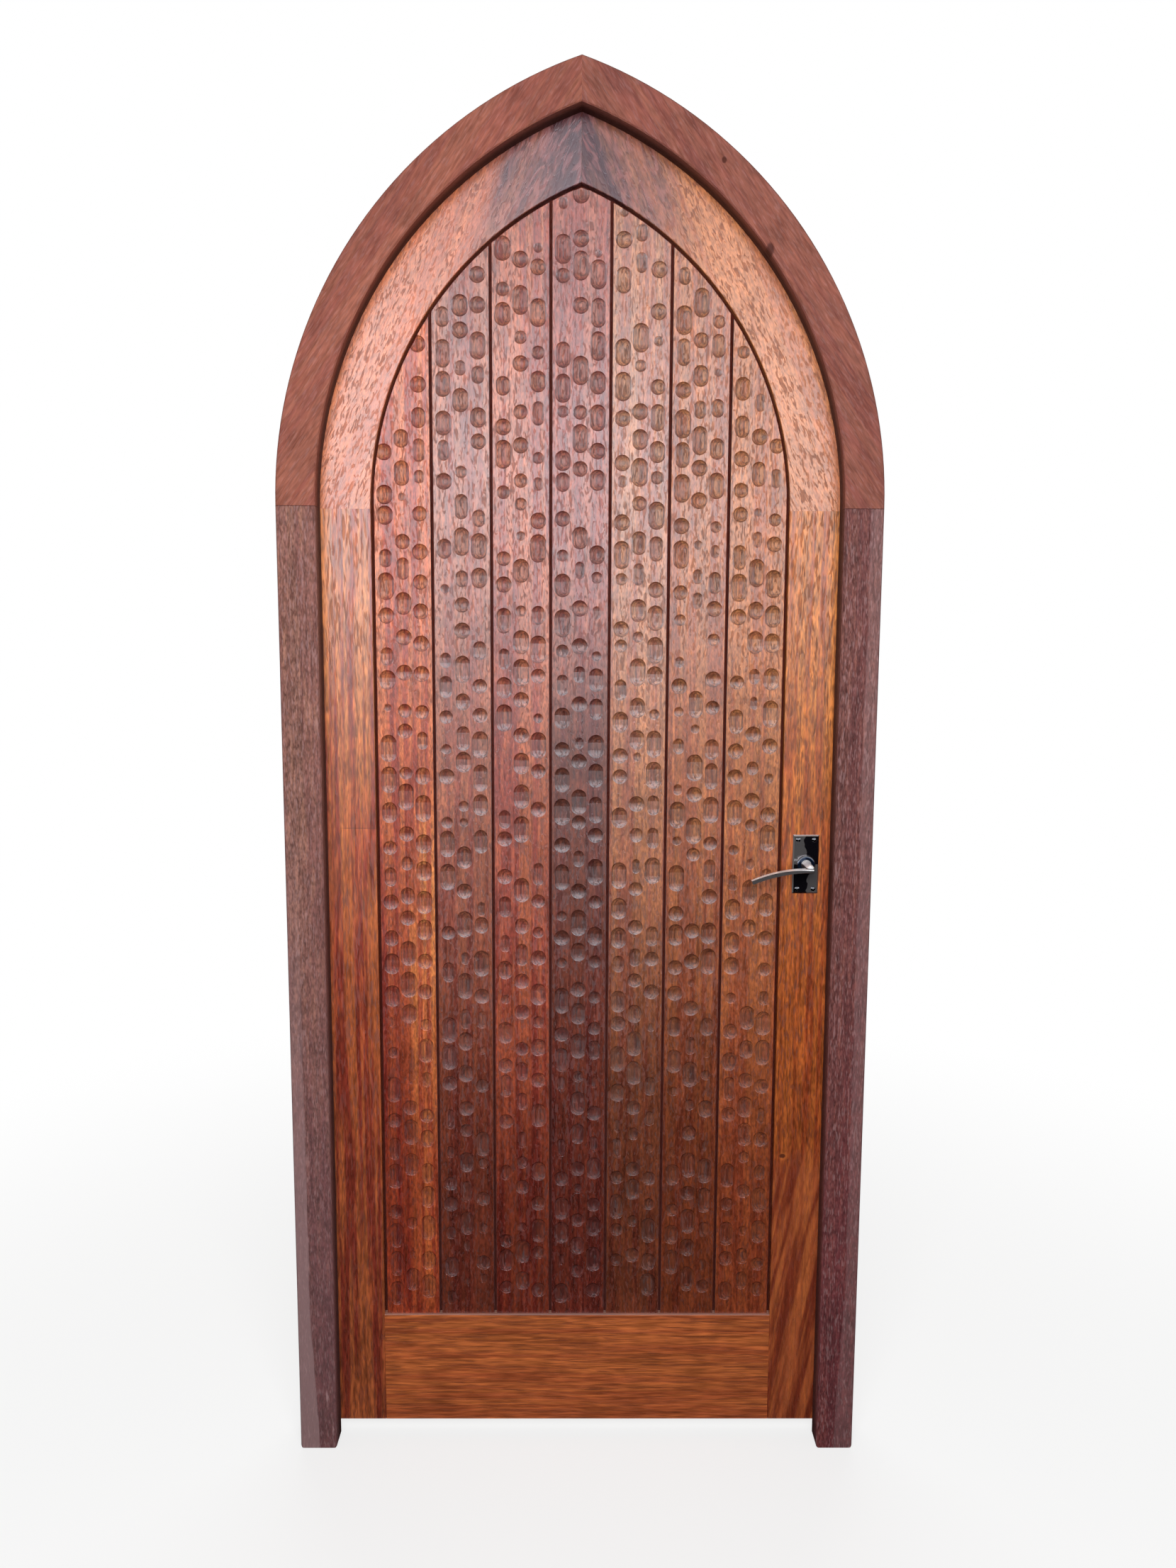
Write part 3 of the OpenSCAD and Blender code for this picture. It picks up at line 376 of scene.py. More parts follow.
def frame_timber(name, mean, seed, lean=0.0, dust=0.0, band=(0.0, 0.0), foot=WHITE):
    """Timber of a jamb, or of an arched head where it leans."""
    grain, chalk_share, relief = HEAD_LOOK if lean else JAMB_LOOK
    wood = Timber(name, mean, seed, lean=lean, ring=FRAME_RING, bands=FRAME_BANDS, **grain)
    reach = wood.reach()
    low = wood.span(wood.z, *DUSTY_ROWS)
    wood.tint(low, foot)

    cloud = wood.noise(wood.drawn(RAGGED_STREAM), RAGGED_SCALE, detail=3.0)
    ragged = wood.times(wood.minus(cloud, NOISE_MEAN), RAGGED)
    widening = wood.times(wood.span(wood.z, *WIDENING_ROWS), WIDENING)
    edge = wood.plus(reach, widening, ragged)
    band_x = OUTER_X - OUTER_BAND_W
    outer = wood.span(edge, band_x - OUTER_BAND_EDGE, band_x + OUTER_BAND_EDGE)
    on_band = wood.times(outer, wood.span(wood.z, *DUSTY_ROWS, *band))
    wood.paint(wood.plus(wood.times(low, dust), on_band), DUST)

    wood.paint(wood.span(wood.apart(wood.z, SPRINGING_Z), JOINT_HALF_W, 0.0, 0.0, JOINT_SHARE), DARK_MARK_AND_REVEAL_SHADE)
    chalk = wood.noise(wood.drawn(CHALK_STREAM), CHALK_SCALE, detail=1.0)
    wood.paint(wood.times(wood.span(chalk, *CHALK_EDGES), chalk_share), CHALK)
    scuffs = wood.noise(wood.drawn(SCUFF_STREAM), SCUFF_SCALE, detail=4.0)
    scuffs = wood.span(scuffs, *SCUFF_EDGES)
    wood.paint(wood.times(wood.span(wood.z, *SCUFF_ROWS), scuffs, SCUFF_SHARE), SCUFF)
    for knot_spot in FRAME_KNOTS:
        wood.paint(wood.span(wood.spot(*knot_spot), *FRAME_KNOT_RIM, 0.0, FRAME_KNOT_SHARE), DARK_MARK_AND_REVEAL_SHADE)
    # Painted shade on the reveals, the inner faces behind the frame's front
    inside = wood.span(reach, *(INNER_X + side for side in REVEAL_SHADE_SIDE))
    behind = wood.span(wood.y, *(FRAME_FRONT_Y + depth for depth in REVEAL_SHADE_DEPTH))
    wood.paint(wood.times(inside, behind, REVEAL_SHADE_SHARE), DARK_MARK_AND_REVEAL_SHADE)
    return wood.finish(FRAME_ROUGHNESS, FRAME_GLOSS, relief=relief)


for index, (node, look) in enumerate(FRAME_WOOD.items()):
    dress(node, frame_timber(node + "_timber", seed=FRAME_SEED + index, **look))

# Leaf timber under a satin varnish, shinier towards the foot: mean colour, gloss and grain of each piece
VARNISH, FOOT_VARNISH, VARNISH_FADE = 0.21, 0.13, (0.50, 1.10)
LEAF_SEED = 5.0
LEAF_WOOD = {
    "hinge_stile": (
        (0.350, 0.098, 0.036),
        1.05,
        {"bands": 1.8, "ribbons": 95.0, "streaks": 0.7, "grit": 0.36, "length": 2.2},
    ),
    "lock_stile": (
        (0.355, 0.104, 0.026),
        0.66,
        {"bands": 1.2, "ribbons": 80.0, "pores": 0.75, "grit": 0.40, "length": 1.8},
    ),
    "left_arched_rail": (
        (0.410, 0.118, 0.051),
        1.15,
        {"bands": 0.35, "streaks": 0.30, "pores": 0.70, "grit": 0.26},
    ),
    "right_arched_rail": (
        (0.370, 0.125, 0.050),
        0.80,
        {"bands": 0.45, "streaks": 0.30, "pores": 0.75, "grit": 0.26},
    ),
    "bottom_rail": (
        (0.405, 0.099, 0.030),
        0.65,
        {"bands": 0.6, "streaks": 0.65, "grit": 0.30, "length": 5.0},
    ),
}
ARCH_LEAN = math.radians(22.0)
LEAF_LEAN = {"left_arched_rail": -ARCH_LEAN, "right_arched_rail": ARCH_LEAN}
SCORE = (0.060, 0.014, 0.008)
STILE_FOOT, STILE_FADE = (0.77, 0.56, 0.54), (1.45, 0.80)
# Purple figure at the leaf's point: grain figure, darkened as painted shade under the frame's arch
PURPLE_DARK_AND_SHADE, PURPLE_PALE = (0.034, 0.012, 0.018), (0.142, 0.053, 0.057)
PURPLE_REACH = {"left_arched_rail": 0.36, "right_arched_rail": 0.32}
PURPLE_EDGE, PURPLE_FULL, PURPLE_SHARE = 0.05, 0.4, 0.96
PURPLE_CLOUD, PURPLE_CLOUD_SCALE, PURPLE_CLOUD_STREAM = 0.26, 34.0, 0.12
SWIRL_SCALE, SWIRL_STREAM, SWIRL_TWIST, SWIRL_EDGES = 46.0, 0.35, 2.6, (0.44, 0.64)
MITRE_LINE, MITRE_SHARE = (0.0011, 0.0003), 0.8
# Scarfed repair in the hinge stile
SPLICE_X, SPLICE_Z = (-0.425, -0.405), 1.150
SPLICE_GLOW, SPLICE_GLOW_H, SPLICE_GLOW_SHARE = (1.35, 1.35, 1.15), 0.09, 0.8
SPLICE_EDGE, SPLICE_LINE, SPLICE_LINE_SHARE = 0.0005, (0.0014, 0.0004), 0.6
# Knot in the lock stile: its ring and core are measured in its own half sizes
KNOT_PLACE, KNOT_HALF = (0.373, 0.547), (0.006, 0.004)
KNOT_PALE, KNOT_RING, KNOT_RING_SHARE = (1.5, 1.7, 1.5), (2.6, 1.2), 0.6
KNOT_CORE, KNOT_CORE_SHARE = (1.15, 0.75), 0.85
# Slanting grain below the knot
SLANT, SLANT_ROWS = math.radians(11.5), (0.585, 0.500)
SLANT_SCALE, SLANT_STREAM, SLANT_EDGES = 62.0, 0.05, (0.42, 0.60)
SLANT_MEAN, SLANT_COVER = (0.273, 0.060, 0.020), 0.55
SLANT_DARK, SLANT_PALE = (0.66, 0.53, 0.70), (1.42, 1.62, 1.66)
# Paler strip along the bottom rail's upper edge
LEDGE_PALE, LEDGE_EDGES, LEDGE_SHARE = (0.32, 0.21, 0.19), (0.0012, 0.0004), 0.6


def varnish(wood):
    """Roughness of the varnish."""
    return wood.span(wood.z, *VARNISH_FADE, FOOT_VARNISH, VARNISH)


def purple_figure_and_shade(wood, reach):
    """Swirling purple figure, part grain and part painted shade, that thins out away from the leaf's
    point, and the mitre's fine line.
    """
    off_centre = wood.unsigned(wood.x)
    cloud = wood.noise(wood.drawn(PURPLE_CLOUD_STREAM), PURPLE_CLOUD_SCALE, detail=3.0)
    spread = wood.plus(off_centre, wood.times(cloud, PURPLE_CLOUD))
    figure = wood.span(spread, reach + PURPLE_EDGE, PURPLE_FULL * reach)
    swirl = wood.mapped(wood.grain, scale=(1.0, 1.0, SWIRL_STREAM))
    swirl = wood.noise(swirl, SWIRL_SCALE, twist=SWIRL_TWIST)
    purple = wood.mix(wood.span(swirl, *SWIRL_EDGES), PURPLE_DARK_AND_SHADE, PURPLE_PALE)
    wood.paint(wood.times(figure, PURPLE_SHARE), purple)
    wood.paint(wood.span(off_centre, *MITRE_LINE, 0.0, MITRE_SHARE), SCORE)


def splice(wood):
    """Scarfed repair in the hinge stile: a fine line across its inner part, golden just below."""
    over = wood.span(wood.x, *SPLICE_X)
    under_line = wood.span(wood.z, SPLICE_Z + SPLICE_EDGE, SPLICE_Z - SPLICE_EDGE)
    glow = wood.times(under_line, wood.span(wood.z, SPLICE_Z - SPLICE_GLOW_H, SPLICE_Z))
    wood.tint(wood.times(over, glow, SPLICE_GLOW_SHARE), SPLICE_GLOW)
    line = wood.span(wood.apart(wood.z, SPLICE_Z), *SPLICE_LINE)
    wood.paint(wood.times(over, line, SPLICE_LINE_SHARE), SCORE)


def slanting_foot(wood):
    """Dark and pale streaks in the lock stile, below its knot, that lean outwards going up."""
    rows = wood.span(wood.z, *SLANT_ROWS)
    leaning = wood.mapped(wood.here, rotation=(0.0, -SLANT, 0.0))
    streaks = wood.noise(wood.mapped(leaning, scale=(1.0, 1.0, SLANT_STREAM)), SLANT_SCALE, detail=3.0)
    wood.paint(wood.times(rows, SLANT_COVER), SLANT_MEAN)
    wood.tint(rows, wood.mix(wood.span(streaks, *SLANT_EDGES), SLANT_DARK, SLANT_PALE))


def knot(wood):
    """Small knot in the lock stile, with pale wood round it and slanting grain below it."""
    slanting_foot(wood)
    ring = wood.spot(*KNOT_PLACE, *KNOT_HALF)
    wood.tint(wood.span(ring, *KNOT_RING, 0.0, KNOT_RING_SHARE), KNOT_PALE)
    wood.paint(wood.span(ring, *KNOT_CORE, 0.0, KNOT_CORE_SHARE), SCORE)


def pale_ledge(wood):
    """Paler colour along the bottom rail's upper edge."""
    edges = (RAIL_TOP_Z - below for below in LEDGE_EDGES)
    wood.paint(wood.span(wood.z, *edges, 0.0, LEDGE_SHARE), LEDGE_PALE)


LEAF_MARKS = {"hinge_stile": splice, "lock_stile": knot, "bottom_rail": pale_ledge}


def leaf_timber(node, seed):
    mean, gloss, grain = LEAF_WOOD[node]
    lean = LEAF_LEAN.get(node, 0.0)
    wood = Timber(node + "_timber", mean, seed, lean=lean, flat=node == "bottom_rail", **grain)
    if node in PURPLE_REACH:
        purple_figure_and_shade(wood, PURPLE_REACH[node])
    if "stile" in node:
        wood.tint(wood.span(wood.z, *STILE_FADE), STILE_FOOT)
    if node in LEAF_MARKS:
        LEAF_MARKS[node](wood)
    return wood.finish(varnish(wood), gloss)


for index, node in enumerate(LEAF_WOOD):
    dress(node, leaf_timber(node, LEAF_SEED + index))

# Planks from the hinge side: mean colour, gloss, share of the tone left at the foot (partly the planks'
# own tone, partly painted shade), heights between which it fades, growth layers and strength of the
# ribbons
PLANKS = (
    ((0.360, 0.085, 0.037), 0.80, 0.68, (0.55, 1.15), (0.0060, 1.10), 1.5),
    ((0.235, 0.069, 0.040), 1.04, 0.50, (0.45, 1.25), (0.0018, 0.18), 0.8),
    ((0.255, 0.064, 0.034), 0.98, 0.53, (0.40, 0.85), (0.0020, 0.22), 1.2),
    ((0.222, 0.059, 0.038), 0.97, 0.47, (1.23, 1.66), (0.0017, 0.15), 0.8),
    ((0.285, 0.101, 0.050), 1.00, 0.42, (0.56, 1.22), (0.0018, 0.20), 0.8),
    ((0.275, 0.088, 0.037), 0.88, 0.51, (0.58, 1.22), (0.0018, 0.17), 0.7),
    ((0.300, 0.096, 0.037), 0.76, 0.65, (0.40, 1.10), (0.0019, 0.22), 0.7),
)
PLANK_SEED, PLANK_GRAIN = 20.0, {"streaks": 0.8, "ribbons": 72.0}
FOOT_TINT, FOOT_TINT_ROWS = (1.0, 0.60, 0.53), (1.30, 0.35)
FOOT_ROWS, TOP_ROWS = (1.02, 0.72), (1.40, 1.62)
# Dimples, by depth under the plank's face: where they end, their hollow, scooped part, and the edge that
# takes painted shade
DIMPLE_DEEPEST, DIMPLE_END = 0.0048, 0.001
DIMPLE_HOLLOW, DIMPLE_SCOOPED = (0.00001, 0.00015), (0.0001, 0.0012)
DIMPLE_SHADE_TOP, DIMPLE_SHADE_FOOT = (0.00005, 0.0003), (0.0014, 0.0005)
DIMPLE_TINT, DIMPLE_RIM_SHADE = (0.76, 0.82, 0.86), (0.52, 0.48, 0.48)
DIMPLE_CONTOUR, CONTOUR_EDGES, CONTOUR_SHARE = (0.40, 0.36, 0.36), (0.2, 0.8), 0.75
LAYERS_TO_CONTOURS = 2.0
# Directions of a face: to the front, downwards, and from a dimple's upper half to its lower half
FACING_FRONT, FACING_DOWN, HALF_TURN = (-0.4, -0.6), (-0.05, -0.25), (-0.08, 0.08)
# At the foot, in the middle rows and at the top: the roughness that dimples add to the varnish,
# and the share of their hollow that it evens out, which at the foot holds for their upper halves too
DIMPLE_DULL = (0.12, 0.02, 0.16)
DIMPLE_EASE = (0.62, 0.50, 0.08)
# Shadow gaps between the planks: how far a face turns sideways, and how far short of the back they end
SHADOWED, GAP_ROUGHNESS = (0.060, 0.009, 0.005), 0.75
GAP_SIDE, GAP_BACK = (0.62, 0.85), (0.0004, 0.001)
# Bowed crack in the middle plank
CRACKED_PLANK, CRACK_BOW, CRACK_SHARE = 3, 0.006, 0.85
CRACK_TOP, CRACK_FOOT = (-0.0115, 1.725), (0.0077, 1.615)
CRACK_LINE, CRACK_START, CRACK_END = (0.0013, 0.0004), (-0.02, 0.05), (1.02, 0.95)
# Golden side of the first plank, measured from the second one's edge
GOLDEN_PLANK, GOLDEN_EDGE_X = 0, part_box("plank_2")[0].x
GOLDEN_SIDE, GOLDEN_FOOT, GOLDEN_TOP = (-0.046, -0.026), (0.22, 0.34), (1.25, 0.95)
GOLDEN_WAVER, GOLDEN_WAVER_SCALE, GOLDEN_WAVER_STREAM = 0.016, 30.0, 0.05
GOLDEN_STRIPE, BESIDE_GOLDEN, BESIDE_SHARE = (1.75, 2.60, 1.85), (0.72, 0.60, 0.78), 0.6


def crack(wood):
    """Fine bowed crack that runs down the middle plank."""
    top_x, top_z = CRACK_TOP
    foot_x, foot_z = CRACK_FOOT
    rise = wood.math("DIVIDE", wood.minus(wood.z, foot_z), top_z - foot_z)
    # A parabola, which stands out by the bow at half height
    bow = wood.times(rise, wood.minus(1.0, rise), 4.0 * CRACK_BOW)
    line_x = wood.plus(wood.times(rise, top_x - foot_x), foot_x, bow)
    near = wood.span(wood.apart(wood.x, line_x), *CRACK_LINE)
    along = wood.times(wood.span(rise, *CRACK_START), wood.span(rise, *CRACK_END))
    wood.paint(wood.times(near, along, CRACK_SHARE), SCORE)


def golden_side(wood):
    """The first plank is golden along its inner side in the lower rows, and duller beside it."""
    waver = wood.noise(wood.drawn(GOLDEN_WAVER_STREAM), GOLDEN_WAVER_SCALE, detail=1.0)
    waver = wood.times(wood.minus(waver, NOISE_MEAN), GOLDEN_WAVER)
    across = wood.minus(wood.plus(wood.x, waver), GOLDEN_EDGE_X)
    rows = wood.times(wood.span(wood.z, *GOLDEN_FOOT), wood.span(wood.z, *GOLDEN_TOP))
    wood.tint(wood.times(rows, BESIDE_SHARE), BESIDE_GOLDEN)
    wood.tint(wood.times(wood.span(across, *GOLDEN_SIDE), rows), GOLDEN_STRIPE)


PLANK_MARKS = {CRACKED_PLANK: crack, GOLDEN_PLANK: golden_side}


def shadow_gaps(wood, depth):
    """Where the shadow gaps are: the planks' sides, and what lies between the dimples and the back."""
    deep = wood.span(depth, DIMPLE_DEEPEST, DIMPLE_DEEPEST + DIMPLE_END)
    deep = wood.times(deep, wood.span(wood.y, *(PLANK_BACK_Y - short for short in GAP_BACK)))
    return wood.math("MAXIMUM", deep, wood.span(wood.unsigned(wood.aside), *GAP_SIDE))


def by_rows(wood, foot, middle, top):
    """A value that goes from the foot rows over the middle rows to the top rows."""
    low = wood.times(wood.span(wood.z, *FOOT_ROWS), foot - middle)
    high = wood.times(wood.span(wood.z, *TOP_ROWS), top - middle)
    return wood.plus(low, high, middle)


def plank_timber(index, mean, gloss, foot_tone_and_shade, fade, ring, bands):
    """A plank's timber: tone by height, partly painted shade, worked dimples, its own marks and the dark
    gaps beside it.
    """
    name, seed = f"plank_{index + 1}_timber", PLANK_SEED + index
    wood = Timber(name, mean, seed, ring=ring, bands=bands, **PLANK_GRAIN)
    # Darker towards the foot: partly the planks' own tone, partly painted shade for the weaker light low
    # down
    wood.tint(1.0, wood.span(wood.z, *fade, foot_tone_and_shade, 1.0))
    wood.tint(wood.span(wood.z, *FOOT_TINT_ROWS), FOOT_TINT)

    depth = wood.minus(wood.y, PLANK_FRONT_Y)
    shallow = wood.span(depth, DIMPLE_DEEPEST + DIMPLE_END, DIMPLE_DEEPEST)
    front = wood.times(wood.span(wood.back, *FACING_FRONT), shallow)
    scooped = wood.times(wood.span(depth, *DIMPLE_SCOOPED), front)
    hollow = wood.times(wood.span(depth, *DIMPLE_HOLLOW), front)
    low = wood.span(wood.z, *FOOT_ROWS)
    wood.tint(scooped, DIMPLE_TINT)
    contours = wood.math("FRACT", wood.times(wood.layers, LAYERS_TO_CONTOURS))
    wood.tint(wood.times(scooped, wood.span(contours, *CONTOUR_EDGES), CONTOUR_SHARE), DIMPLE_CONTOUR)
    # Painted shade on the dimples' edges: all round above the foot rows, on their downward-facing upper
    # halves at the foot
    shaded_rims = wood.math("MAXIMUM", wood.minus(1.0, low), wood.span(wood.up, *FACING_DOWN))
    edge = wood.times(wood.span(depth, *DIMPLE_SHADE_TOP), wood.span(depth, *DIMPLE_SHADE_FOOT), shaded_rims)
    wood.tint(edge, DIMPLE_RIM_SHADE)
    if index in PLANK_MARKS:
        PLANK_MARKS[index](wood)
    gaps = shadow_gaps(wood, depth)
    wood.paint(gaps, SHADOWED)

    shine = varnish(wood)
    dull = wood.plus(by_rows(wood, *DIMPLE_DULL), shine)
    roughness = wood.span(scooped, 0.0, 1.0, shine, dull)
    roughness = wood.span(gaps, 0.0, 1.0, roughness, GAP_ROUGHNESS)
    upper_half = wood.times(low, DIMPLE_EASE[0])
    ease = wood.span(wood.up, *HALF_TURN, upper_half, by_rows(wood, *DIMPLE_EASE))
    return wood.finish(roughness, gloss, base=wood.eased_normal(wood.times(hollow, ease)))


for index, look in enumerate(PLANKS):
    dress(f"plank_{index + 1}", plank_timber(index, *look))

# Sawn timber of the hidden tenons and keys
SAWN, SAWN_SEED, SAWN_ROUGHNESS, SAWN_GLOSS = (0.38, 0.23, 0.12), 40.0, 0.7, 0.3
sawn = Timber("sawn_timber", SAWN, SAWN_SEED).finish(SAWN_ROUGHNESS, SAWN_GLOSS)
for whole in ("frame", "leaf"):
    for piece in (f"left_{whole}_tenon", f"right_{whole}_tenon", f"{whole}_key"):
        dress(piece, sawn)

# Metals
POLISH_STREAM = 0.15
SMUDGED, SMUDGE_SCALE, SMUDGE_SHARE = (0.75, 0.75, 0.75), 60.0, 0.35
ZINC, SATIN_STEEL, DARK_NICKEL = (0.52, 0.52, 0.50), (0.56, 0.55, 0.53), (0.11, 0.105, 0.105)
# Polished plates with painted reflections, light and dark, round a blue-black boss; painted highlights
# on the boss's rim and the bevels
REFLECTION_DARK, REFLECTION_PALE = (0.008, 0.007, 0.010), (0.155, 0.146, 0.148)
REFLECTION_EDGE, REFLECTION_BLUR = -0.002, 0.0006
REFLECTION_WAVE, REFLECTION_WAVE_SCALE, REFLECTION_WAVE_TWIST, REFLECTION_PLACE = 0.030, 62.0, 0.6, (0.31, 0.0, 0.12)
PLATE_METALLIC, PLATE_ROUGHNESS, PLATE_GLOSS = 0.65, 0.10, 0.6
BOSS_BLUE, BOSS_RIM_HIGHLIGHT = (0.008, 0.016, 0.036), (0.30, 0.30, 0.31)
BOSS_R, BOSS_BLUR, BOSS_RIM_IN, BOSS_RIM_HIGHLIGHT_UP = 0.0150, 0.001, (0.0016, 0.0004), (0.1, 0.4)
BOSS_BASE, BOSS_STEP = 0.0045, 0.0005
BOSS_BASE_Y = -LEAF_FRONT_Y + BOSS_BASE
BEVEL_TOP_HIGHLIGHT, BEVEL_HIGHLIGHT_UP = (0.80, 0.66, 0.62), (0.4, 0.6)
BEVEL_SIDE_REFLECTION, BEVEL_REFLECTION_TURN = (0.30, 0.28, 0.27), (-0.4, -0.6)
# Bright levers: painted light, silver on their upper faces and painted shade on their undersides
SILVER, UNDERSIDE_SHADE, UNDERSIDE_SHADE_UP = (0.95, 0.93, 0.92), (0.05, 0.045, 0.045), (0.15, 0.50)
LEVER_METALLIC, LEVER_ROUGHNESS, LEVER_SMUDGE, LEVER_SMUDGE_SCALE = 0.35, 0.24, 0.10, 90.0
spindle_low, spindle_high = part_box("spindle")
SPINDLE_X = (spindle_low.x + spindle_high.x) / 2
SPINDLE_Z = (spindle_low.z + spindle_high.z) / 2


def metal(name, colour, roughness, marks_scale, marks):
    """Metal with smudges and fine polishing marks."""
    shader = Shader(name)
    polish = shader.noise(shader.mapped(shader.here, scale=(1.0, 1.0, POLISH_STREAM)), marks_scale)
    smudge = shader.times(shader.noise(shader.here, SMUDGE_SCALE), SMUDGE_SHARE)
    shader.surface(
        Base_Color=shader.mix(smudge, colour, tinted(colour, SMUDGED)),
        Metallic=1.0,
        Roughness=shader.plus(shader.times(polish, marks), roughness - marks / 2),
    )
    return shader.material


def reflection_painted_nickel(name):
    """Nickel with painted reflections: fields of light and dark that change sides at the spindle's
    height.
    """
    shader = Shader(name)
    off_x, off_z = shader.minus(shader.x, SPINDLE_X), shader.minus(shader.z, SPINDLE_Z)
    wave = shader.mapped(shader.here, location=REFLECTION_PLACE)
    wave = shader.noise(wave, REFLECTION_WAVE_SCALE, detail=1.0, twist=REFLECTION_WAVE_TWIST)
    wave = shader.times(shader.minus(wave, NOISE_MEAN), REFLECTION_WAVE)
    turned = shader.times(shader.plus(off_x, wave), shader.math("SIGN", off_z))
    # Painted reflections: pale on one side of the wavering line, dark on the other
    reflected_pale = shader.span(turned, REFLECTION_EDGE + REFLECTION_BLUR, REFLECTION_EDGE - REFLECTION_BLUR)
    colour = shader.mix(reflected_pale, REFLECTION_DARK, REFLECTION_PALE)

    radius = shader.hypotenuse(off_x, off_z)
    proud = shader.span(shader.unsigned(shader.y), BOSS_BASE_Y, BOSS_BASE_Y + BOSS_STEP)
    on_boss = shader.times(shader.span(radius, BOSS_R + BOSS_BLUR, BOSS_R), proud)
    colour = shader.mix(on_boss, colour, BOSS_BLUE)
    # Painted highlight on the upward-facing rim of the boss
    rim_highlight = shader.span(radius, *(BOSS_R - inwards for inwards in BOSS_RIM_IN))
    rim_highlight = shader.times(rim_highlight, on_boss, shader.span(shader.up, *BOSS_RIM_HIGHLIGHT_UP))
    colour = shader.mix(rim_highlight, colour, BOSS_RIM_HIGHLIGHT)

    # Painted reflections on the plate's bevels: grey on the left-facing ones, a pale highlight on the
    # upward ones
    level = shader.minus(1.0, proud)
    side = shader.times(level, shader.span(shader.aside, *BEVEL_REFLECTION_TURN))
    colour = shader.mix(side, colour, BEVEL_SIDE_REFLECTION)
    top = shader.times(level, shader.span(shader.up, *BEVEL_HIGHLIGHT_UP))
    shader.surface(
        Base_Color=shader.mix(top, colour, BEVEL_TOP_HIGHLIGHT),
        Metallic=PLATE_METALLIC,
        Roughness=PLATE_ROUGHNESS,
        Specular_IOR_Level=PLATE_GLOSS,
    )
    return shader.material


def shaded_bright_nickel(name):
    shader = Shader(name)
    smudge = shader.times(shader.noise(shader.here, LEVER_SMUDGE_SCALE), LEVER_SMUDGE)
    shader.surface(
        # Painted light: silver where the surface faces up, dark shade where it faces down
        Base_Color=shader.mix(shader.span(shader.up, *UNDERSIDE_SHADE_UP), UNDERSIDE_SHADE, SILVER),
        Metallic=LEVER_METALLIC,
        Roughness=shader.plus(smudge, LEVER_ROUGHNESS),
    )
    return shader.material


SLOT_FINISH = {
    "black_nickel": shaded_bright_nickel("shaded_bright_nickel"),
    "latch_steel": metal("zinc_plate", ZINC, roughness=0.38, marks_scale=700.0, marks=0.15),
    "hinge_steel": metal("satin_steel", SATIN_STEEL, roughness=0.32, marks_scale=800.0, marks=0.15),
}
for part in frame["record"]["subparts"]:
    if part["material_slot"] in SLOT_FINISH:
        dress(part["node"], SLOT_FINISH[part["material_slot"]])
plate_nickel = reflection_painted_nickel("reflection_painted_nickel")
screw_nickel = metal("screw_nickel", DARK_NICKEL, roughness=0.14, marks_scale=900.0, marks=0.04)
for plate in ("front_plate", "rear_plate"):
    dress(plate, plate_nickel)
    dress(plate + "_screws", screw_nickel)


def pressed_spring():
    """The latch spring's coil, copied in the spring's place and carried by the leaf."""
    coil = bpy.data.objects.new("latch_coil", nodes["latch_spring"].data.copy())
    scene.collection.objects.link(coil)
    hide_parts("latch_spring")
    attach(coil, "leaf")
    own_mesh(coil)


pressed_spring()

# Camera at the photograph's place
PHOTO_W, PHOTO_H = 1659, 2212
FOCAL_PX = 1663.0
SENSOR_MM = 36.0
CAMERA_PLACE = Vector((0.0001, -2.0705, 1.4870))
CAMERA_YAW, CAMERA_PITCH, CAMERA_ROLL = (math.radians(angle) for angle in (-0.42, -7.15, -0.27))

turn = (
    Matrix.Rotation(CAMERA_YAW, 3, "Z")
    @ Matrix.Rotation(CAMERA_PITCH, 3, "X")
    @ Matrix.Rotation(CAMERA_ROLL, 3, "Y")
)
right, ahead, up = turn.col
lens = bpy.data.cameras.new("camera")
lens.sensor_width = SENSOR_MM
lens.lens = SENSOR_MM * FOCAL_PX / max(PHOTO_W, PHOTO_H)
camera = bpy.data.objects.new("camera", lens)
axes = Matrix((right, up, -ahead)).transposed()
camera.matrix_world = Matrix.Translation(CAMERA_PLACE) @ axes.to_4x4()
scene.collection.objects.link(camera)
scene.camera = camera

# Softboxes: place, point that they face, width, height and radiance
SOFTBOXES = {
    "upper_softbox": ((0.0, -2.2, 2.3), (0.0, 0.0, 1.7), 1.7, 1.1, 6.2),
    "level_softbox": ((0.0, -2.3, 1.8), (0.0, 0.0, 1.8), 1.4, 0.9, 10.4),
    "back_softbox": ((0.0, 2.8, 2.4), (0.0, 0.0, 1.5), 4.5, 1.8, 3.0),
}


def softbox(name, place, aim, width, height, radiance):
    """A large even lamp that faces a point and shows in no reflection."""
    data = bpy.data.lights.new(name, "AREA")
    data.shape = "RECTANGLE"
    data.size, data.size_y = width, height
    data.energy = radiance * math.pi * width * height
    lamp = bpy.data.objects.new(name, data)
    lamp.location = place
    lamp.rotation_mode = "QUATERNION"
    lamp.rotation_quaternion = (Vector(aim) - Vector(place)).to_track_quat("-Z", "Y")
    lamp.visible_camera = False
    lamp.visible_glossy = False
    scene.collection.objects.link(lamp)


for name, setting in SOFTBOXES.items():
    softbox(name, *setting)

# White to the camera; to polished and varnished faces a bright band over a dim ground, with light from
# overhead; an even fill for the rest. Limits are the height and depth of a direction of length one.
BAND_RISE, BAND_FALL = (-0.07, 0.09), (0.20, 0.34)
ZENITH_RISE, BLUE_RISE = (0.95, 0.99), (0.15, 0.6)
FRONT_TO_BACK = (-0.5, 0.2)
FRONT_BAND, BACK_BAND = 5.6, 1.2
GROUND_GLOSS, UPPER_GLOSS, ZENITH_GLOSS = 0.03, 0.45, 2.5
COOL, BLUE = (0.94, 1.0, 1.10), (0.72, 0.86, 1.0)
FILL = 0.20


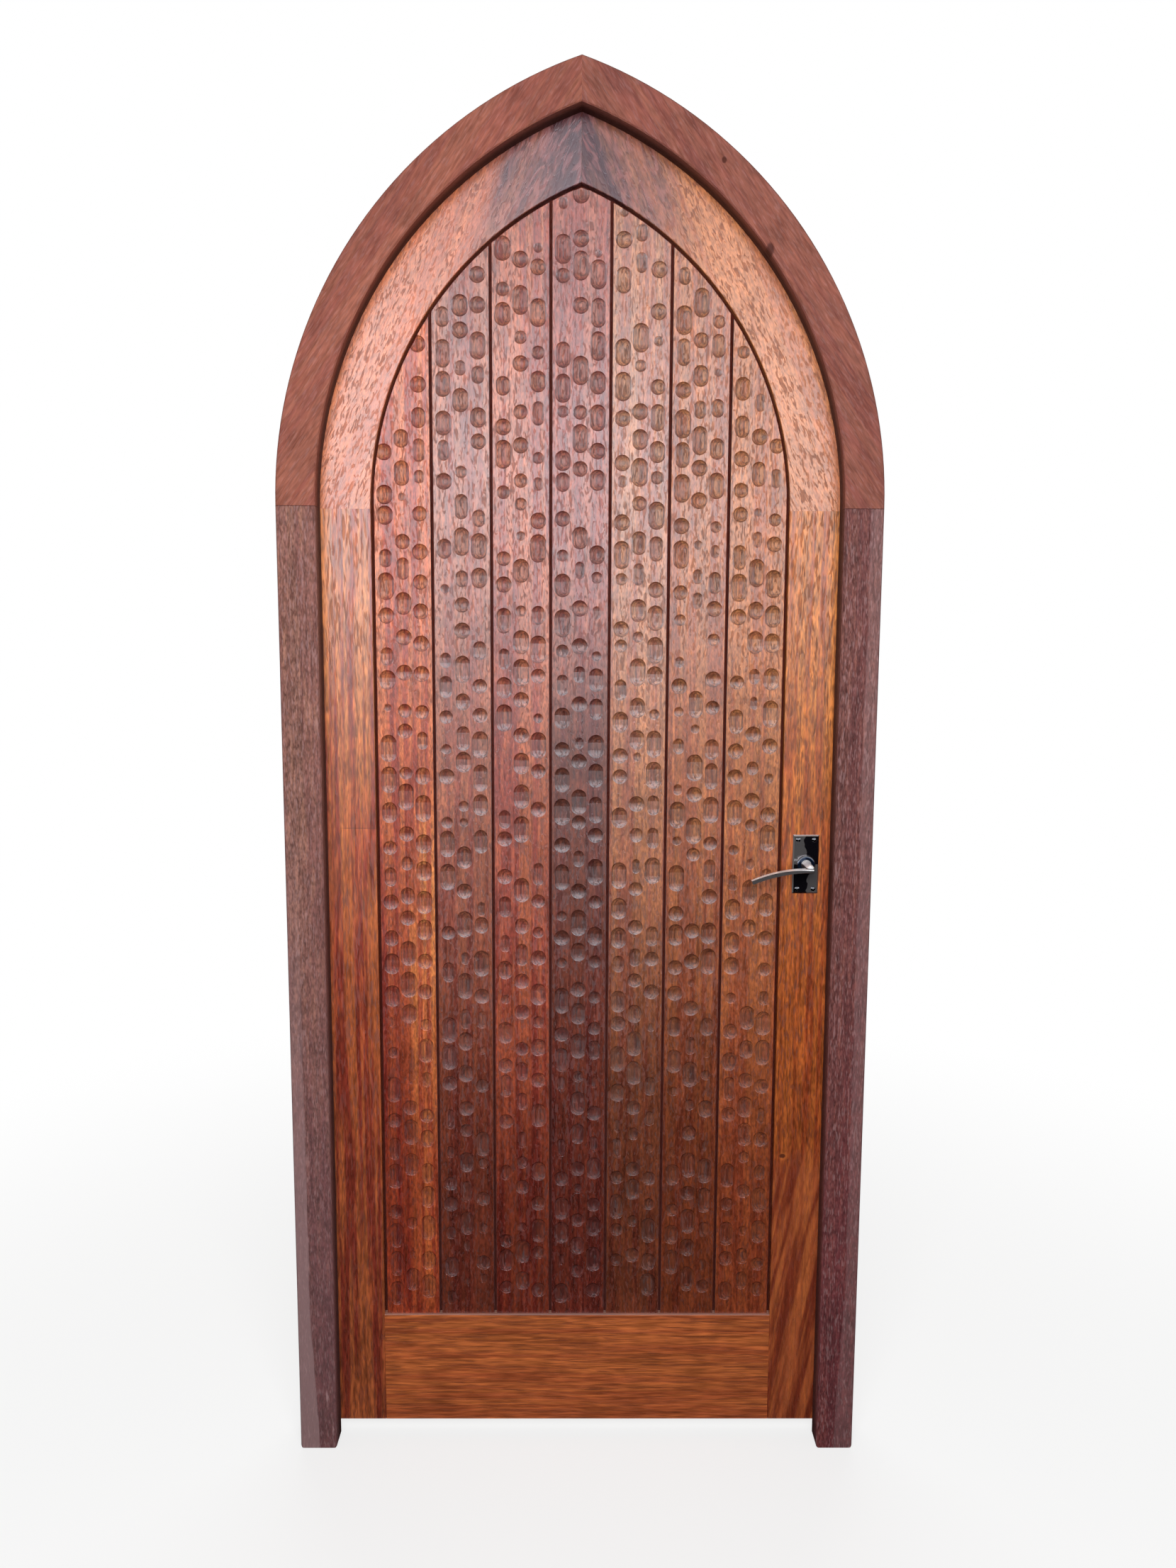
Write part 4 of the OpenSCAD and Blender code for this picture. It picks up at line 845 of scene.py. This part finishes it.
def studio_light():
    """The world's light."""
    world = bpy.data.worlds.new("studio")
    scene.world = world
    world.use_nodes = True
    world.node_tree.nodes.clear()
    studio = Nodes(world.node_tree)
    rays = studio.add("LightPath").outputs
    _, depth, height = studio.axes(studio.add("TexCoord").outputs["Generated"])
    level = studio.span(depth, *FRONT_TO_BACK, FRONT_BAND, BACK_BAND)
    level = studio.span(height, *BAND_FALL, level, UPPER_GLOSS)
    level = studio.span(height, *ZENITH_RISE, level, ZENITH_GLOSS)
    level = studio.span(height, *BAND_RISE, GROUND_GLOSS, level)
    tone = studio.mix(studio.span(height, *BLUE_RISE), COOL, BLUE)
    sky = studio.fed(studio.add("Background"), tone, level)
    fill = studio.fed(studio.add("Background"), WHITE, FILL)
    white = studio.fed(studio.add("Background"), WHITE, 1.0)
    lit = studio.either(rays["Is Glossy Ray"], fill, sky)
    lit = studio.either(rays["Is Transmission Ray"], lit, sky)
    lit = studio.either(rays["Is Camera Ray"], lit, white)
    studio.named(studio.add("OutputWorld"), Surface=lit)


studio_light()

# Pale floor, whitening outwards; it gives little light back to the door
FLOOR_HALF, FLOOR_Z = 14.0, -0.0005
FLOOR_TONE, FLOOR_ROUGHNESS = (0.86, 0.86, 0.85), 0.9
FLOOR_BOUNCE, FLOOR_SHEEN = (0.16, 0.16, 0.16), (0.02, 0.02, 0.02)
GLOW_REACH, GLOW_SHARES = (0.6, 2.6), (0.70, 1.0)


def floor_paper():
    """Paper that the camera sees with its shadows, and that other rays find dim."""
    paper = Shader("floor_paper")
    paper.surface(Base_Color=FLOOR_TONE, Roughness=FLOOR_ROUGHNESS, Specular_IOR_Level=0.0)
    rays = paper.add("LightPath").outputs
    glow = paper.fed(paper.add("Emission"), WHITE, 1.0)
    bounce = paper.fed(paper.add("BsdfDiffuse"), FLOOR_BOUNCE)
    sheen = paper.fed(paper.add("BsdfDiffuse"), FLOOR_SHEEN)
    away = paper.hypotenuse(paper.x, paper.y)
    seen = paper.either(paper.span(away, *GLOW_REACH, *GLOW_SHARES), paper.bsdf.outputs[0], glow)
    look = paper.either(rays["Is Glossy Ray"], bounce, sheen)
    look = paper.either(rays["Is Camera Ray"], look, seen)
    paper.named(paper.tree.nodes["Material Output"], Surface=look)
    return paper.material


bpy.ops.mesh.primitive_plane_add(size=2 * FLOOR_HALF, location=(0.0, 0.0, FLOOR_Z))
floor = bpy.context.object
floor.name = "floor"
floor.data.materials.append(floor_paper())
